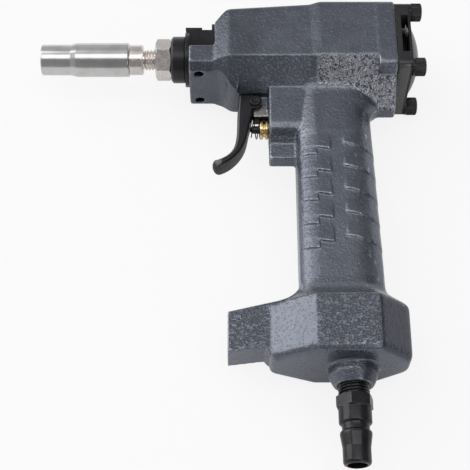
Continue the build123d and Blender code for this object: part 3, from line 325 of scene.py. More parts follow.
@dataclass(frozen=True)
class HammeredPaint:
    """Dark blue-grey hammered paint on the casting, with bare metal on the lug under the trigger's pin. Its
    colour also holds painted shade and painted highlights.
    """

    name: str = "hammered_paint"
    deep: Colour = (0.140, 0.152, 0.182)
    body: Colour = (0.168, 0.181, 0.216)
    wear_and_painted_highlight: Colour = (0.440, 0.455, 0.495)
    # Painted shade in the grooves and painted highlight on the crests of the base's wrinkles.
    groove: Colour = (0.128, 0.139, 0.167)
    crest: Colour = (0.205, 0.220, 0.258)
    # Tone of the base's left slant, set as painted light.
    pale: Colour = (0.160, 0.172, 0.205)
    painted_band_highlight: Colour = (0.228, 0.241, 0.278)
    painted_rim_highlight: Colour = (0.55, 0.57, 0.61)
    facet_groove_painted_shade: Colour = (0.085, 0.090, 0.105)
    facet_crest_painted_highlight: Colour = (0.360, 0.371, 0.398)
    bare: Colour = (0.28, 0.265, 0.25)
    shade: Colour = (0.016, 0.016, 0.018)
    flake: float = 0.85
    sheen_level: float = 0.5
    gloss: Ramp = (0.24, 0.32)
    worm_mm: float = 1.05
    worm_stretch: Point = (0.5, 1.0, 1.0)
    worm_step: Ramp = (0.36, 0.64)
    worm_depth: float = 0.32
    pit_mm: float = 1.0
    pit_step: Ramp = (0.36, 0.47)
    pit_depth: float = 0.14
    grain_mm: float = 0.55
    grain_step: Ramp = (0.45, 0.72)
    grain_share: Ramp = (0.0, 0.45)
    grain_depth: float = 0.05
    drop_mm: float = 1.2
    drop_step: Ramp = (0.60, 0.70)
    drop_depth: float = 0.08
    peel_mm: float = 1.5
    peel_depth: float = 0.18
    cloud_mm: float = 9.0
    ridge_step: Ramp = (0.512, 0.535)
    ridge_share: Ramp = (0.2, 0.8)
    painted_rim_step: Ramp = (0.70, 0.96)
    painted_rim_share: Ramp = (0.0, 0.8)
    head_facets: Limits = (
        Limit(Measure.X, 128.5, 130.0),
        Limit(Measure.SLANT, 32.6, 33.6),
        Limit(Measure.SLANT, 35.2, 34.4),
        Limit(Measure.ASIDE, 21.7, 21.0),
    )
    lug: Limits = (
        Limit(Measure.Y, -29.5, -30.6),
        Limit(Measure.X, 107.2, 106.9),
        Limit(Measure.Y, -41.0, -40.0),
    )
    lug_sides: Limit = Limit(Measure.LOOK_ASIDE, 0.45, 0.75)
    lug_under: Limit = Limit(Measure.LOOK_Y, -0.45, -0.75)
    base: Limit = Limit(Measure.Y, -118.0, -134.0)
    base_sides: Limit = Limit(Measure.LOOK_ASIDE, 0.90, 0.97)
    base_slant_painted_light: Limit = Limit(Measure.LOOK_X, -0.25, -0.42)
    handle: Limit = Limit(Measure.X, 116.0, 120.0)
    handle_web: Limits = (
        Limit(Measure.Y, -60.0, -48.0),
        Limit(Measure.Y, -23.0, -27.0),
        Limit(Measure.LOOK_X, -0.05, -0.22),
    )
    handle_heel: Limits = (
        Limit(Measure.Y, -134.0, -130.0),
        Limit(Measure.Y, -110.0, -116.0),
        Limit(Measure.LOOK_Y, 0.10, 0.40),
    )
    handle_neck: Limits = (
        Limit(Measure.Y, -30.0, -28.0),
        Limit(Measure.Y, -23.0, -25.0),
        Limit(Measure.LOOK_Y, -0.08, -0.25),
    )
    nose: Limits = (Limit(Measure.Y, -80.0, -60.0), Limit(Measure.X, 108.0, 98.0))
    nose_dim: float = 0.79
    base_rear: Limits = (Limit(Measure.Y, -116.0, -124.0), Limit(Measure.LOOK_X, 0.25, 0.40))
    rear_painted_shade: float = 0.62

    def band_highlight_share(self, graph: Graph) -> Socket:
        """Share of painted highlight: on the handle's front edges, its neck and the base's shoulders."""
        spots = (self.handle_web, self.handle_heel, self.handle_neck)
        return graph.chain("MAXIMUM", [graph.inside((self.handle, *spot)) for spot in spots])

    def dimmed(self, graph: Graph, colour: Socket) -> Socket:
        """Colour that is darker on the nose, and with painted shade on the base's rear facet.

        Args:
            graph: The material's nodes.
            colour: The colour before.

        Returns:
            The colour after.
        """
        # Darker on the nose; painted shade on the base's rear facet, which faces away from the lamps.
        spots = ((self.nose, self.nose_dim), (self.base_rear, self.rear_painted_shade))
        factors = [graph.span(graph.inside(spot), WHOLE, (1.0, dim)) for spot, dim in spots]
        dim = graph.chain("MULTIPLY", factors)
        grey = graph.add("ShaderNodeCombineXYZ", {0: dim, 1: dim, 2: dim}).outputs[0]
        return graph.tint(1.0, colour, grey, Blend.DARKEN)

    def material(self) -> Finish:
        """Build the finish's material.

        Returns:
            The material.
        """
        graph = Graph(self.name)
        worms = graph.noise(self.worm_mm, detail=0.0, twist=1.5, stretch=self.worm_stretch)
        pits = graph.noise(self.pit_mm, detail=0.3, twist=1.2)
        peel = graph.noise(self.peel_mm, detail=1.0, twist=0.6)
        grain = graph.noise(self.grain_mm, detail=1.0)
        cloud = graph.noise(self.cloud_mm, detail=3.0)
        drops = graph.span(graph.noise(self.drop_mm, detail=0.0), self.drop_step)
        wrinkle = graph.span(worms, self.worm_step)
        pit = graph.span(pits, self.pit_step)
        facets = graph.inside(self.head_facets)
        sides = graph.inside((self.base, self.base_sides))
        normal = None
        for height, depth_mm in (
            (graph.math("MULTIPLY", wrinkle, sides), self.worm_depth),
            (graph.math("MULTIPLY", pit, facets), self.pit_depth),
            (grain, self.grain_depth),
            (drops, self.drop_depth),
            (peel, self.peel_depth),
        ):
            normal = graph.relief(height, depth_mm, normal)
        # Ridges found by pointiness get a lighter colour: partly paint worn off the edges, partly a painted
        # highlight along them.
        ridge = graph.span(graph.geometry.outputs["Pointiness"], self.ridge_step)
        rubbed = graph.math("MULTIPLY", ridge, graph.span(peel, CLOUDY, self.ridge_share))
        grazing = graph.add("ShaderNodeLayerWeight", {"Blend": 0.5}).outputs["Facing"]
        colour = graph.tint(graph.span(cloud, CLOUDY), self.deep, self.body)
        colour = graph.tint(graph.span(grain, self.grain_step, self.grain_share), colour, self.body)
        # Painted light: the base's slanting left facet gets a flat tone of its own, set for how bright it
        # looks under the left lamps.
        colour = graph.tint(graph.inside((self.base, self.base_slant_painted_light)), colour, self.pale)
        # Painted highlight: lighter bands on the handle's front edges, its neck and the base's shoulders.
        colour = graph.tint(self.band_highlight_share(graph), colour, self.painted_band_highlight)
        # Painted shade in the base wrinkles' grooves and painted highlight on their crests.
        colour = graph.tint(sides, colour, graph.tint(wrinkle, self.groove, self.crest))
        # Painted shade in the head facets' pits and painted highlight on their crests.
        colour = graph.tint(facets, colour, graph.tint(pit, self.facet_groove_painted_shade, self.facet_crest_painted_highlight))
        colour = self.dimmed(graph, graph.tint(rubbed, colour, self.wear_and_painted_highlight))
        # Painted highlight at grazing angles, along the outlines.
        colour = graph.tint(graph.span(grazing, self.painted_rim_step, self.painted_rim_share), colour, self.painted_rim_highlight)
        colour = graph.tint(graph.inside((*self.lug, self.lug_sides)), colour, self.bare)
        colour = graph.tint(graph.inside((*self.lug, self.lug_under)), colour, self.shade)
        graph.set(
            Base_Color=colour,
            Metallic=self.flake,
            Specular_IOR_Level=self.sheen_level,
            Roughness=graph.span(cloud, CLOUDY, self.gloss),
            Normal=normal,
        )
        return graph.material


@dataclass(frozen=True)
class PaintedLight:
    """Painted light or shade: colour that a finish has on the faces inside a limit."""

    limit: Limit
    colour: Colour


@dataclass(frozen=True)
class Steel:
    """Steel finish: bright, nickelled or blackened, with fine working marks, rubbed edges, and painted light
    or shade on some faces.
    """

    name: str
    deep: Colour
    body: Colour
    rubbed: Colour
    metallic: float
    gloss: Ramp
    edge_mm: float = 0.25
    edge_step: Ramp = (0.3, 0.65)
    edge_share: Ramp = (0.2, 0.6)
    grain_mm: float = 0.6
    grain_step: Ramp = (0.25, 0.75)
    cloud_mm: float = 6.0
    stretch: Point = (1.0, 1.0, 1.0)
    depth_mm: float = 0.01
    painted_light: tuple[PaintedLight, ...] = ()

    def material(self) -> Finish:
        """Build the finish's material.

        Returns:
            The material.
        """
        graph = Graph(self.name)
        marks = graph.noise(self.grain_mm, detail=4.0, stretch=self.stretch)
        cloud = graph.noise(self.cloud_mm, detail=3.0)
        colour = graph.tint(graph.span(cloud, CLOUDY), self.deep, self.body)
        # Painted light or shade on the faces inside each limit.
        for side in self.painted_light:
            colour = graph.tint(graph.inside((side.limit,)), colour, side.colour)
        patchy = graph.span(cloud, self.edge_step, self.edge_share)
        wear = graph.math("MULTIPLY", graph.edge(self.edge_mm), patchy)
        graph.set(
            Base_Color=graph.tint(wear, colour, self.rubbed),
            Metallic=self.metallic,
            Roughness=graph.span(marks, self.grain_step, self.gloss),
            Normal=graph.relief(marks, self.depth_mm),
        )
        return graph.material


@dataclass(frozen=True)
class Moulding:
    """Rubber, plastic or gasket sheet: dull, with a fine grain and a little bloom."""

    name: str
    deep: Colour
    body: Colour
    gloss: Ramp
    grain_mm: float = 0.3
    cloud_mm: float = 4.0
    depth_mm: float = 0.02

    def material(self) -> Finish:
        """Build the finish's material.

        Returns:
            The material.
        """
        graph = Graph(self.name)
        grain = graph.noise(self.grain_mm, detail=3.0)
        cloud = graph.noise(self.cloud_mm, detail=3.0)
        graph.set(
            Base_Color=graph.tint(graph.span(cloud, CLOUDY), self.deep, self.body),
            Roughness=graph.span(grain, CLOUDY, self.gloss),
            Normal=graph.relief(grain, self.depth_mm),
        )
        return graph.material


BLACK_STEEL = Steel(
    name="blackened_steel",
    deep=(0.012, 0.012, 0.014),
    body=(0.020, 0.020, 0.023),
    rubbed=(0.15, 0.15, 0.157),
    metallic=0.30,
    gloss=(0.24, 0.36),
)
LEVER_STEEL_PAINTED_LIGHT = replace(
    BLACK_STEEL,
    name="black_steel_painted_light",
    painted_light=(
        # Painted highlight on faces turned a little to the left, plain black again on faces turned far left,
        # and painted shade on the underside.
        PaintedLight(Limit(Measure.LOOK_X, -0.04, -0.22), (0.11, 0.11, 0.118)),
        PaintedLight(Limit(Measure.LOOK_X, -0.50, -0.80), BLACK_STEEL.body),
        PaintedLight(Limit(Measure.LOOK_Y, -0.30, -0.70), (0.004, 0.004, 0.005)),
    ),
)
PAINTED_STEEL = Steel(
    name="black_painted_steel",
    deep=(0.036, 0.036, 0.038),
    body=(0.052, 0.052, 0.055),
    rubbed=(0.15, 0.15, 0.155),
    metallic=0.60,
    gloss=(0.22, 0.34),
    # Painted light: lighter downward faces, standing for light from the floor.
    painted_light=(PaintedLight(Limit(Measure.LOOK_Y, -0.45, -0.80), (0.115, 0.115, 0.116)),),
)
PLUG_STEEL = Steel(
    name="oiled_black_steel",
    deep=(0.026, 0.026, 0.028),
    body=(0.040, 0.040, 0.042),
    rubbed=(0.26, 0.26, 0.265),
    metallic=0.70,
    gloss=(0.14, 0.26),
    edge_mm=0.3,
    edge_share=(0.2, 0.8),
)
BRIGHT_STEEL = Steel(
    name="turned_bright_steel",
    deep=(0.58, 0.575, 0.565),
    body=(0.66, 0.655, 0.645),
    rubbed=(0.84, 0.835, 0.825),
    metallic=1.0,
    gloss=(0.16, 0.26),
    grain_mm=2.0,
    stretch=(24.0, 0.6, 0.6),
    depth_mm=0.004,
)
NICKEL_STEEL = Steel(
    name="nickelled_steel",
    deep=(0.68, 0.635, 0.61),
    body=(0.80, 0.755, 0.725),
    rubbed=(0.92, 0.88, 0.85),
    metallic=1.0,
    gloss=(0.20, 0.30),
    edge_mm=0.4,
    edge_share=(0.2, 0.9),
    grain_mm=1.5,
    depth_mm=0.002,
)
SPRING_STEEL = Steel(
    name="spring_wire",
    deep=(0.018, 0.018, 0.018),
    body=(0.035, 0.035, 0.036),
    rubbed=(0.12, 0.12, 0.12),
    metallic=0.6,
    gloss=(0.28, 0.42),
)
BRASS = Steel(
    name="turned_brass",
    deep=(0.70, 0.52, 0.24),
    body=(0.86, 0.68, 0.38),
    rubbed=(0.96, 0.85, 0.58),
    metallic=1.0,
    gloss=(0.10, 0.20),
    grain_mm=1.0,
    stretch=(12.0, 0.8, 0.8),
)
PISTON_ALLOY = Steel(
    name="turned_alloy",
    deep=(0.58, 0.59, 0.61),
    body=(0.70, 0.71, 0.73),
    rubbed=(0.86, 0.86, 0.87),
    metallic=1.0,
    gloss=(0.26, 0.40),
    grain_mm=2.0,
    stretch=(16.0, 0.8, 0.8),
)
RUBBER = Moulding("black_rubber", (0.014, 0.014, 0.015), (0.026, 0.026, 0.027), (0.64, 0.80))
VALVE_PLASTIC = Moulding("valve_plastic", (0.70, 0.68, 0.62), (0.80, 0.78, 0.73), (0.37, 0.53))
GASKET_SHEET = Moulding("gasket_sheet", (0.022, 0.022, 0.022), (0.045, 0.044, 0.042), (0.72, 0.88), 0.5)
SLOT_FINISHES = {
    "casting": HammeredPaint(),
    "black_steel": BLACK_STEEL,
    "bright_steel": BRIGHT_STEEL,
    "nickel_steel": NICKEL_STEEL,
    "spring_steel": SPRING_STEEL,
    "brass": BRASS,
    "rubber": RUBBER,
    "piston_alloy": PISTON_ALLOY,
    "valve_plastic": VALVE_PLASTIC,
    "gasket_sheet": GASKET_SHEET,
}


@dataclass(frozen=True)
class Axle:
    """Line that a piece is turned on, in mm, with the direction its angles start from."""

    point: Point = (0.0, 0.0, 0.0)
    along: Point = (1.0, 0.0, 0.0)
    zero: Point = (0.0, 1.0, 0.0)

    def place(self, along: float, radius: float, angle: float) -> Vector:
        """Point in metres at a distance along the line, a radius and an angle.

        Args:
            along: Distance along the line in mm.
            radius: Distance from the line in mm.
            angle: Angle round the line in radians.

        Returns:
            The point.
        """
        way = Vector(self.along)
        first = Vector(self.zero)
        second = way.cross(first)
        out = first * cos(angle) + second * sin(angle)
        return (Vector(self.point) + way * along + out * radius) * MM


@dataclass(frozen=True)
class Ring:
    """One ring of a turned piece, in mm, with the thread, flats or knurl that are cut in it."""

    along: float
    radius: float
    crest: float = 0.0
    thread: float = 0.0
    flats: float = 0.0
    knurl: float = 0.0


@dataclass(frozen=True)
class Lathe:
    """Turns closed outlines about a line into meshes."""

    axle: Axle
    segments: int = 96
    pitch: float = 1.0
    turn_deg: float = 0.0
    ridges: int = 0
    thread_flat: float = 0.15

    def radius_at(self, ring: Ring, angle: float) -> float:
        """Radius of a ring at an angle.

        Args:
            ring: The ring.
            angle: Angle round the line in radians.

        Returns:
            The radius in mm.
        """
        radius = ring.radius
        if ring.flats:
            from_flat = (angle - radians(self.turn_deg)) % (tau / 6) - tau / 12
            radius = min(radius, ring.flats / 2 / cos(from_flat))
        if ring.thread:
            phase = (ring.along / self.pitch - angle / tau) % 1.0
            slope = (abs(2 * phase - 1) - self.thread_flat) / (1 - 2 * self.thread_flat)
            radius = min(radius, ring.crest - ring.thread * min(max(slope, 0.0), 1.0))
        if ring.knurl:
            radius -= ring.knurl * (0.5 - 0.5 * cos(self.ridges * angle))
        return radius

    def shape(self, rings: Sequence[Ring]) -> Mesh:
        """Turn a closed row of rings.

        Args:
            rings: The outline's rings in order.

        Returns:
            The mesh.
        """
        mesh = bmesh.new()
        start = radians(self.turn_deg)
        angles = [start + tau * i / self.segments for i in range(self.segments)]
        rows = []
        for ring in rings:
            row = [mesh.verts.new(self.axle.place(ring.along, self.radius_at(ring, a), a)) for a in angles]
            rows.append(row)
        for row, after in zip(rows, rows[1:] + rows[:1]):
            for i in range(self.segments):
                mesh.faces.new((row[i], row[i - 1], after[i - 1], after[i]))
        bmesh.ops.remove_doubles(mesh, verts=mesh.verts, dist=TURNED_WELD)
        bmesh.ops.dissolve_degenerate(mesh, dist=TURNED_WELD, edges=mesh.edges)
        return mesh


def rounded(outline: Outline, radius: float, most: float = 0.4) -> list[Ring]:
    """Rings of an outline whose corners are eased, apart from those on the line itself.

    Args:
        outline: Corners as distance along and radius, in mm.
        radius: How far the easing reaches from a corner.
        most: Share of a side that one corner may take.

    Returns:
        The rings.
    """
    rings = []
    for i, corner in enumerate(outline):
        if corner[1] == 0:
            rings.append(Ring(*corner))
            continue
        here = Vector(corner)
        before = Vector(outline[i - 1]) - here
        after = Vector(outline[(i + 1) % len(outline)]) - here
        reach = min(radius, most * before.length, most * after.length)
        start = here + before.normalized() * reach
        end = here + after.normalized() * reach
        for step in range(EASE_STEPS + 1):
            t = step / EASE_STEPS
            point = start * (1 - t) ** 2 + here * 2 * t * (1 - t) + end * t * t
            rings.append(Ring(point.x, point.y))
    return rings


def threaded(
    start: float, end: float, crest: float, depth: float, pitch: float, per_turn: int = 10
) -> list[Ring]:
    """Rings of a screw thread that runs out at both ends.

    Args:
        start: Where the thread starts, in mm along.
        end: Where it ends.
        crest: Radius of its crests.
        depth: Depth of its roots.
        pitch: Distance from crest to crest.
        per_turn: Rings for each pitch.

    Returns:
        The rings.
    """
    count = max(2, round(abs(end - start) / pitch * per_turn))
    rings = []
    for i in range(count + 1):
        along = start + (end - start) * i / count
        run_out = min(abs(along - start), abs(end - along))
        rings.append(Ring(along, crest - depth + min(depth, run_out), crest=crest, thread=depth))
    return rings


def hexagon(start: float, end: float, flats: float, low: float, depth: float, steps: int) -> list[Ring]:
    """Rings of a hexagon whose corners are turned off at both ends.

    Args:
        start: Where it starts, in mm along.
        end: Where it ends.
        flats: Its size over the flats.
        low: Radius of its ends.
        depth: How far the turned corners reach in from the ends.
        steps: Rings on each turned end, less one.

    Returns:
        The rings.
    """
    corner = flats / 2 / cos(pi / 6)
    rise = [(depth * i / steps, low + (corner - low) * i / steps) for i in range(steps + 1)]
    rings = [Ring(start + x, radius, flats=flats) for x, radius in rise]
    return rings + [Ring(end - x, radius, flats=flats) for x, radius in reversed(rise)]


def in_scene(name: str, data: bpy.types.ID) -> Piece:
    """Object in the scene.

    Args:
        name: Its name.
        data: Its mesh, light or camera.

    Returns:
        The object.
    """
    thing = bpy.data.objects.new(name, data)
    bpy.context.scene.collection.objects.link(thing)
    return thing


def new_piece(name: str, mesh: Mesh, sharp_deg: float = 40.0) -> Piece:
    """Object made of a finished mesh, shaded smooth up to an angle.

    Args:
        name: The piece's name.
        mesh: Its mesh, which is freed.
        sharp_deg: Edges sharper than this stay sharp.

    Returns:
        The piece.
    """
    bmesh.ops.recalc_face_normals(mesh, faces=mesh.faces)
    for face in mesh.faces:
        face.smooth = True
    data = bpy.data.meshes.new(name)
    mesh.to_mesh(data)
    mesh.free()
    data.set_sharp_from_angle(angle=radians(sharp_deg))
    return in_scene(name, data)


def eased_copy(
    node: Piece, name: str, width_mm: float, sharp_deg: float = 30.0, flat_deg: float = 0.3
) -> Piece:
    """Copy of a CAD node's mesh with its flat facets joined and its sharp edges rounded.

    Args:
        node: The CAD node's object.
        name: The new piece's name.
        width_mm: How far the rounding reaches.
        sharp_deg: Edges sharper than this are rounded.
        flat_deg: Facets that meet at less than this are joined.

    Returns:
        The piece.
    """
    mesh = bmesh.new()
    mesh.from_mesh(node.data)
    bmesh.ops.remove_doubles(mesh, verts=mesh.verts, dist=CAD_WELD)
    bmesh.ops.dissolve_limit(mesh, angle_limit=radians(flat_deg), verts=mesh.verts, edges=mesh.edges)
    sharp = [edge for edge in mesh.edges if edge.is_manifold and edge.calc_face_angle() > radians(sharp_deg)]
    bmesh.ops.bevel(
        mesh,
        geom=sharp,
        offset=width_mm * MM,
        offset_type="OFFSET",
        segments=2,
        profile=0.5,
        affect="EDGES",
        clamp_overlap=True,
    )
    return new_piece(name, mesh)


@dataclass(frozen=True)
class Coil:
    """Round wire wound into a spring, in mm along its line. First is the turns its start is moved on by."""

    start: float
    end: float
    radius: float
    wire: float
    turns: float
    first: float = 0.0
    per_turn: int = 48
    sides: int = 12

    def wound(self, name: str, axle: Axle) -> Piece:
        """Wind the wire.

        Args:
            name: The piece's name.
            axle: Line that it is wound on. Its angle starts a quarter turn past the line's zero.

        Returns:
            The piece.
        """
        mesh = bmesh.new()
        steps = round(self.turns * self.per_turn)
        way = Vector(axle.along)
        round_wire = [tau * k / self.sides for k in range(self.sides)]
        rows = []
        for i in range(steps + 1):
            share = i / steps
            angle = pi / 2 - tau * (self.first + self.turns * share)
            middle = axle.place(self.start + (self.end - self.start) * share, self.radius, angle)
            out = (axle.place(0, 1, angle) - axle.place(0, 0, angle)) / MM
            skin = [middle + (out * cos(a) + way * sin(a)) * self.wire / 2 * MM for a in round_wire]
            rows.append([mesh.verts.new(point) for point in skin])
        for row, after in zip(rows, rows[1:]):
            for k in range(self.sides):
                mesh.faces.new((row[k], row[k - 1], after[k - 1], after[k]))
        mesh.faces.new(rows[0])
        mesh.faces.new(list(reversed(rows[-1])))
        return new_piece(name, mesh)


class Workshop:
    """Hands out CAD nodes and puts finished pieces in their places."""

    def __init__(self, frame: dict) -> None:
        """Note each node's body and material slot.

        Args:
            frame: The loaded frame.
        """
        record = frame["record"]
        self.nodes: dict[str, Piece] = frame["nodes"]
        self.bodies = {node: body for body, nodes in record["behaviour"]["bodies"].items() for node in nodes}
        self.slots = {part["node"]: part["material_slot"] for part in record["subparts"]}
        self.painted = PAINTED_STEEL.material()
        self.oiled = PLUG_STEEL.material()
        self.lever_painted_light = LEVER_STEEL_PAINTED_LIGHT.material()
        self.finishes = {slot: finish.material() for slot, finish in SLOT_FINISHES.items()}

    def fit(self, piece: Piece, node: str, finish: Finish | None = None) -> None:
        """Put a piece in a node's place, on its body and in its finish.

        Args:
            piece: The piece.
            node: The CAD node that it stands for.
            finish: Material, if it isn't the usual one of the node's slot.
        """
        slot = self.slots[node]
        piece.data.materials.clear()
        piece.data.materials.append(finish or self.finishes[slot])
        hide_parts(node)
        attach(piece, self.bodies[node])
        faces = len(piece.data.polygons)
        LOG.info("%s stands for %s on %s, %d faces", piece.name, node, self.bodies[node], faces)

    def ease(self, node: str, width_mm: float, finish: Finish | None = None) -> None:
        """Put a copy of a node's mesh in its place, with its edges rounded by width_mm."""
        self.fit(eased_copy(self.nodes[node], f"{node}_eased", width_mm), node, finish)


@dataclass(frozen=True)
class SoftSpot:
    """Box in the casting, in mm, whose surface is smoothed by a number of passes."""

    name: str
    passes: int
    x: Ramp = (60.0, 190.0)
    y: Ramp = (-200.0, 40.0)

    def holds(self, place: Vector) -> bool:
        """Whether a point in metres lies in the box."""
        return self.x[0] < place.x / MM < self.x[1] and self.y[0] < place.y / MM < self.y[1]


@dataclass(frozen=True)
class Brow:
    """Gentle slope that the trigger block's lower edge has over the steep CAD bevel, in mm."""

    x: Ramp = (104.0, 124.0)
    bevel: Profile = ((-41.4, 10.6), (-44.4, 7.6), (-49.1, 3.9))
    slope: Profile = ((-41.4, 10.6), (-44.4, 9.5), (-46.4, 6.03))
    skin: float = 0.6

    @staticmethod
    def width(profile: Profile, y: float) -> float:
        """Half width of a profile at a height.

        Args:
            profile: Heights with their half widths, from the top down.
            y: Height in mm.

        Returns:
            The half width in mm, which is 0 above and below the profile.
        """
        for (top, wide), (bottom, narrow) in zip(profile, profile[1:]):
            if bottom <= y <= top:
                return wide + (narrow - wide) * (top - y) / (top - bottom)
        return 0.0

    def raised(self, place: Vector) -> float:
        """Slope's effect on a point of the casting.

        Args:
            place: The point in metres.

        Returns:
            Its Z in metres once the slope is on.
        """
        x, y, z = place / MM
        wide = self.width(self.slope, y)
        on_skin = abs(z) > self.width(self.bevel, y) - self.skin
        if not (self.x[0] < x < self.x[1] and wide and on_skin and abs(z) < wide):
            return place.z
        return copysign(wide, z) * MM


@dataclass
class Casting:
    """Cast body, with the soft edges that sand casting and thick paint give."""

    weld: float = 0.001
    voxel: float = 0.45
    softness: float = 0.5
    faces: int = 190000
    spots: tuple[SoftSpot, ...] = (
        SoftSpot("all_over", 2),
        SoftSpot("head", 14, y=(-44.0, 40.0)),
        SoftSpot("block", 14, x=(60.0, 119.0), y=(-112.0, -44.0)),
        SoftSpot("base", 14, y=(-200.0, -112.0)),
        SoftSpot("shoulder", 60, x=(122.0, 152.0), y=(-127.0, -113.0)),
        SoftSpot("rear_corner", 60, x=(150.0, 190.0), y=(-175.0, -116.0)),
    )
    brow: Brow = Brow()

    def finished(self, draft: Piece) -> bpy.types.Mesh:
        """Mesh that a draft's modifiers make. The draft is removed.

        Args:
            draft: Object with its modifiers.

        Returns:
            The new mesh.
        """
        bpy.context.view_layer.update()
        graph = bpy.context.evaluated_depsgraph_get()
        data = bpy.data.meshes.new_from_object(draft.evaluated_get(graph))
        bpy.data.objects.remove(draft)
        return data

    def build(self, shop: Workshop) -> None:
        """Remesh the casting finely, soften it and dress it.

        Args:
            shop: Where the piece is fitted.
        """
        draft = in_scene("casting_draft", shop.nodes["body_casting"].data.copy())
        weld = draft.modifiers.new("weld", "WELD")
        weld.merge_threshold = self.weld * MM
        remesh = draft.modifiers.new("remesh", "REMESH")
        remesh.mode = "VOXEL"
        remesh.voxel_size = self.voxel * MM
        even = self.finished(draft)
        full = len(even.polygons)
        for vertex in even.vertices:
            vertex.co.z = self.brow.raised(vertex.co)
        draft = in_scene("casting_even", even)
        for spot in self.spots:
            group = draft.vertex_groups.new(name=spot.name)
            group.add([vertex.index for vertex in even.vertices if spot.holds(vertex.co)], 1.0, "REPLACE")
            soften = draft.modifiers.new(spot.name, "SMOOTH")
            soften.factor = self.softness
            soften.iterations = spot.passes
            soften.vertex_group = group.name
        thin = draft.modifiers.new("thin", "DECIMATE")
        thin.ratio = min(1.0, self.faces / (2 * full))
        data = self.finished(draft)
        data.name = "cast_body"
        piece = in_scene("cast_body", data)
        data.shade_smooth()
        LOG.info("casting remeshed to %d faces, thinned to %d", full, len(data.polygons))
        shop.fit(piece, "body_casting")


@dataclass
class NoseAssembly:
    """Nose block and the screws that hold it."""

    block_edge: float = 0.25
    screw_edge: float = 0.08

    def build(self, shop: Workshop) -> None:
        """Build and dress the nose's pieces in the shop."""
        shop.ease("nose_block", self.block_edge)
        shop.ease("nose_block_screws", self.screw_edge)


@dataclass
class NozzleAssembly:
    """Turned nozzle with its threaded stud, magnet and jam nut, in mm along the drive axis."""

    length: float = 41.7
    mouth_r: float = 7.25
    sleeve_r: float = 8.0
    socket_r: float = 6.15
    socket_depth: float = 8.0
    magnet_r: float = 5.77
    magnet_end: float = 12.0
    bore_r: float = 3.05
    spigot_start: float = 30.7
    spigot_r: float = 5.5
    cone_start: float = 14.0
    cone_end: float = 16.7
    collar_r: float = 7.1
    collar_end: float = 48.2
    stud_end: float = 73.3
    thread_r: float = 5.0
    thread_depth: float = 0.9
    thread_pitch: float = 1.5
    nut_start: float = 54.2
    nut_end: float = 61.6
    nut_flats: float = 17.0
    nut_turn_deg: float = 36.0
    nut_bore_r: float = 5.05
    nut_bevel_share: float = 0.58
    nut_steps: int = 6
    nut_dish: float = 0.15
    nut_mouth: float = 0.4
    edge: float = 0.5
    easing: float = 0.25
    gap: float = 0.45
    magnet_edge: float = 0.15
    sleeve_sides: int = 128
    stud_sides: int = 96
    stud_sharp_deg: float = 25.0
    nut_sides: int = 120
    nut_sharp_deg: float = 20.0

    def sleeve(self) -> Piece:
        """Build the turned sleeve with its socket.

        Returns:
            The piece.
        """
        outline = [
            (0, self.socket_r),
            (0, self.mouth_r - self.edge),
            (self.edge, self.mouth_r),
            (self.cone_start, self.mouth_r),
            (self.cone_end, self.sleeve_r),
            (self.length - self.edge, self.sleeve_r),
            (self.length, self.sleeve_r - self.edge),
            (self.length, self.spigot_r),
            (self.spigot_start, self.spigot_r),
            (self.spigot_start, self.bore_r),
            (self.magnet_end, self.bore_r),
            (self.magnet_end, self.magnet_r),
            (self.socket_depth, self.magnet_r),
            (self.socket_depth, self.socket_r),
        ]
        turned = Lathe(Axle(), self.sleeve_sides).shape(rounded(outline, self.easing))
        return new_piece("nozzle_sleeve_turned", turned)

    def stud(self) -> Piece:
        """Build the stud with its collar and screw thread.

        Returns:
            The piece.
        """
        root = self.thread_r - self.thread_depth
        front = [
            (self.spigot_start, self.bore_r),
            (self.spigot_start, self.spigot_r),
            (self.length + self.gap, self.spigot_r),
            (self.length + self.gap, self.collar_r),
            (self.collar_end - self.edge, self.collar_r),
            (self.collar_end, self.collar_r - self.edge),
            (self.collar_end, root),
        ]
        start = self.collar_end + self.edge
        rings = [Ring(*corner) for corner in front]
        rings += threaded(start, self.stud_end, self.thread_r, self.thread_depth, self.thread_pitch)
        rings.append(Ring(self.stud_end, self.bore_r))
        turned = Lathe(Axle(), self.stud_sides, self.thread_pitch).shape(rings)
        return new_piece("nozzle_stud_threaded", turned, self.stud_sharp_deg)

    def nut(self) -> Piece:
        """Build the hex nut with its corners turned off.

        Returns:
            The piece.
        """
        flat_r = self.nut_flats / 2
        depth = (flat_r / cos(pi / 6) - flat_r) * self.nut_bevel_share
        low = flat_r - self.nut_dish
        mouth_r = self.nut_bore_r + self.nut_mouth
        rings = [
            Ring(self.nut_start, mouth_r),
            *hexagon(self.nut_start, self.nut_end, self.nut_flats, low, depth, self.nut_steps),
            Ring(self.nut_end, mouth_r),
            Ring(self.nut_end - self.nut_mouth, self.nut_bore_r),
            Ring(self.nut_start + self.nut_mouth, self.nut_bore_r),
        ]
        turned = Lathe(Axle(), self.nut_sides, turn_deg=self.nut_turn_deg).shape(rings)
        return new_piece("jam_nut_hex", turned, self.nut_sharp_deg)

    def build(self, shop: Workshop) -> None:
        """Build and dress the nozzle's pieces.

        Args:
            shop: Where they are fitted.
        """
        shop.fit(self.sleeve(), "nozzle_sleeve")
        shop.fit(self.stud(), "nozzle_stud")
        shop.fit(self.nut(), "jam_nut")
        shop.ease("nail_magnet", self.magnet_edge)


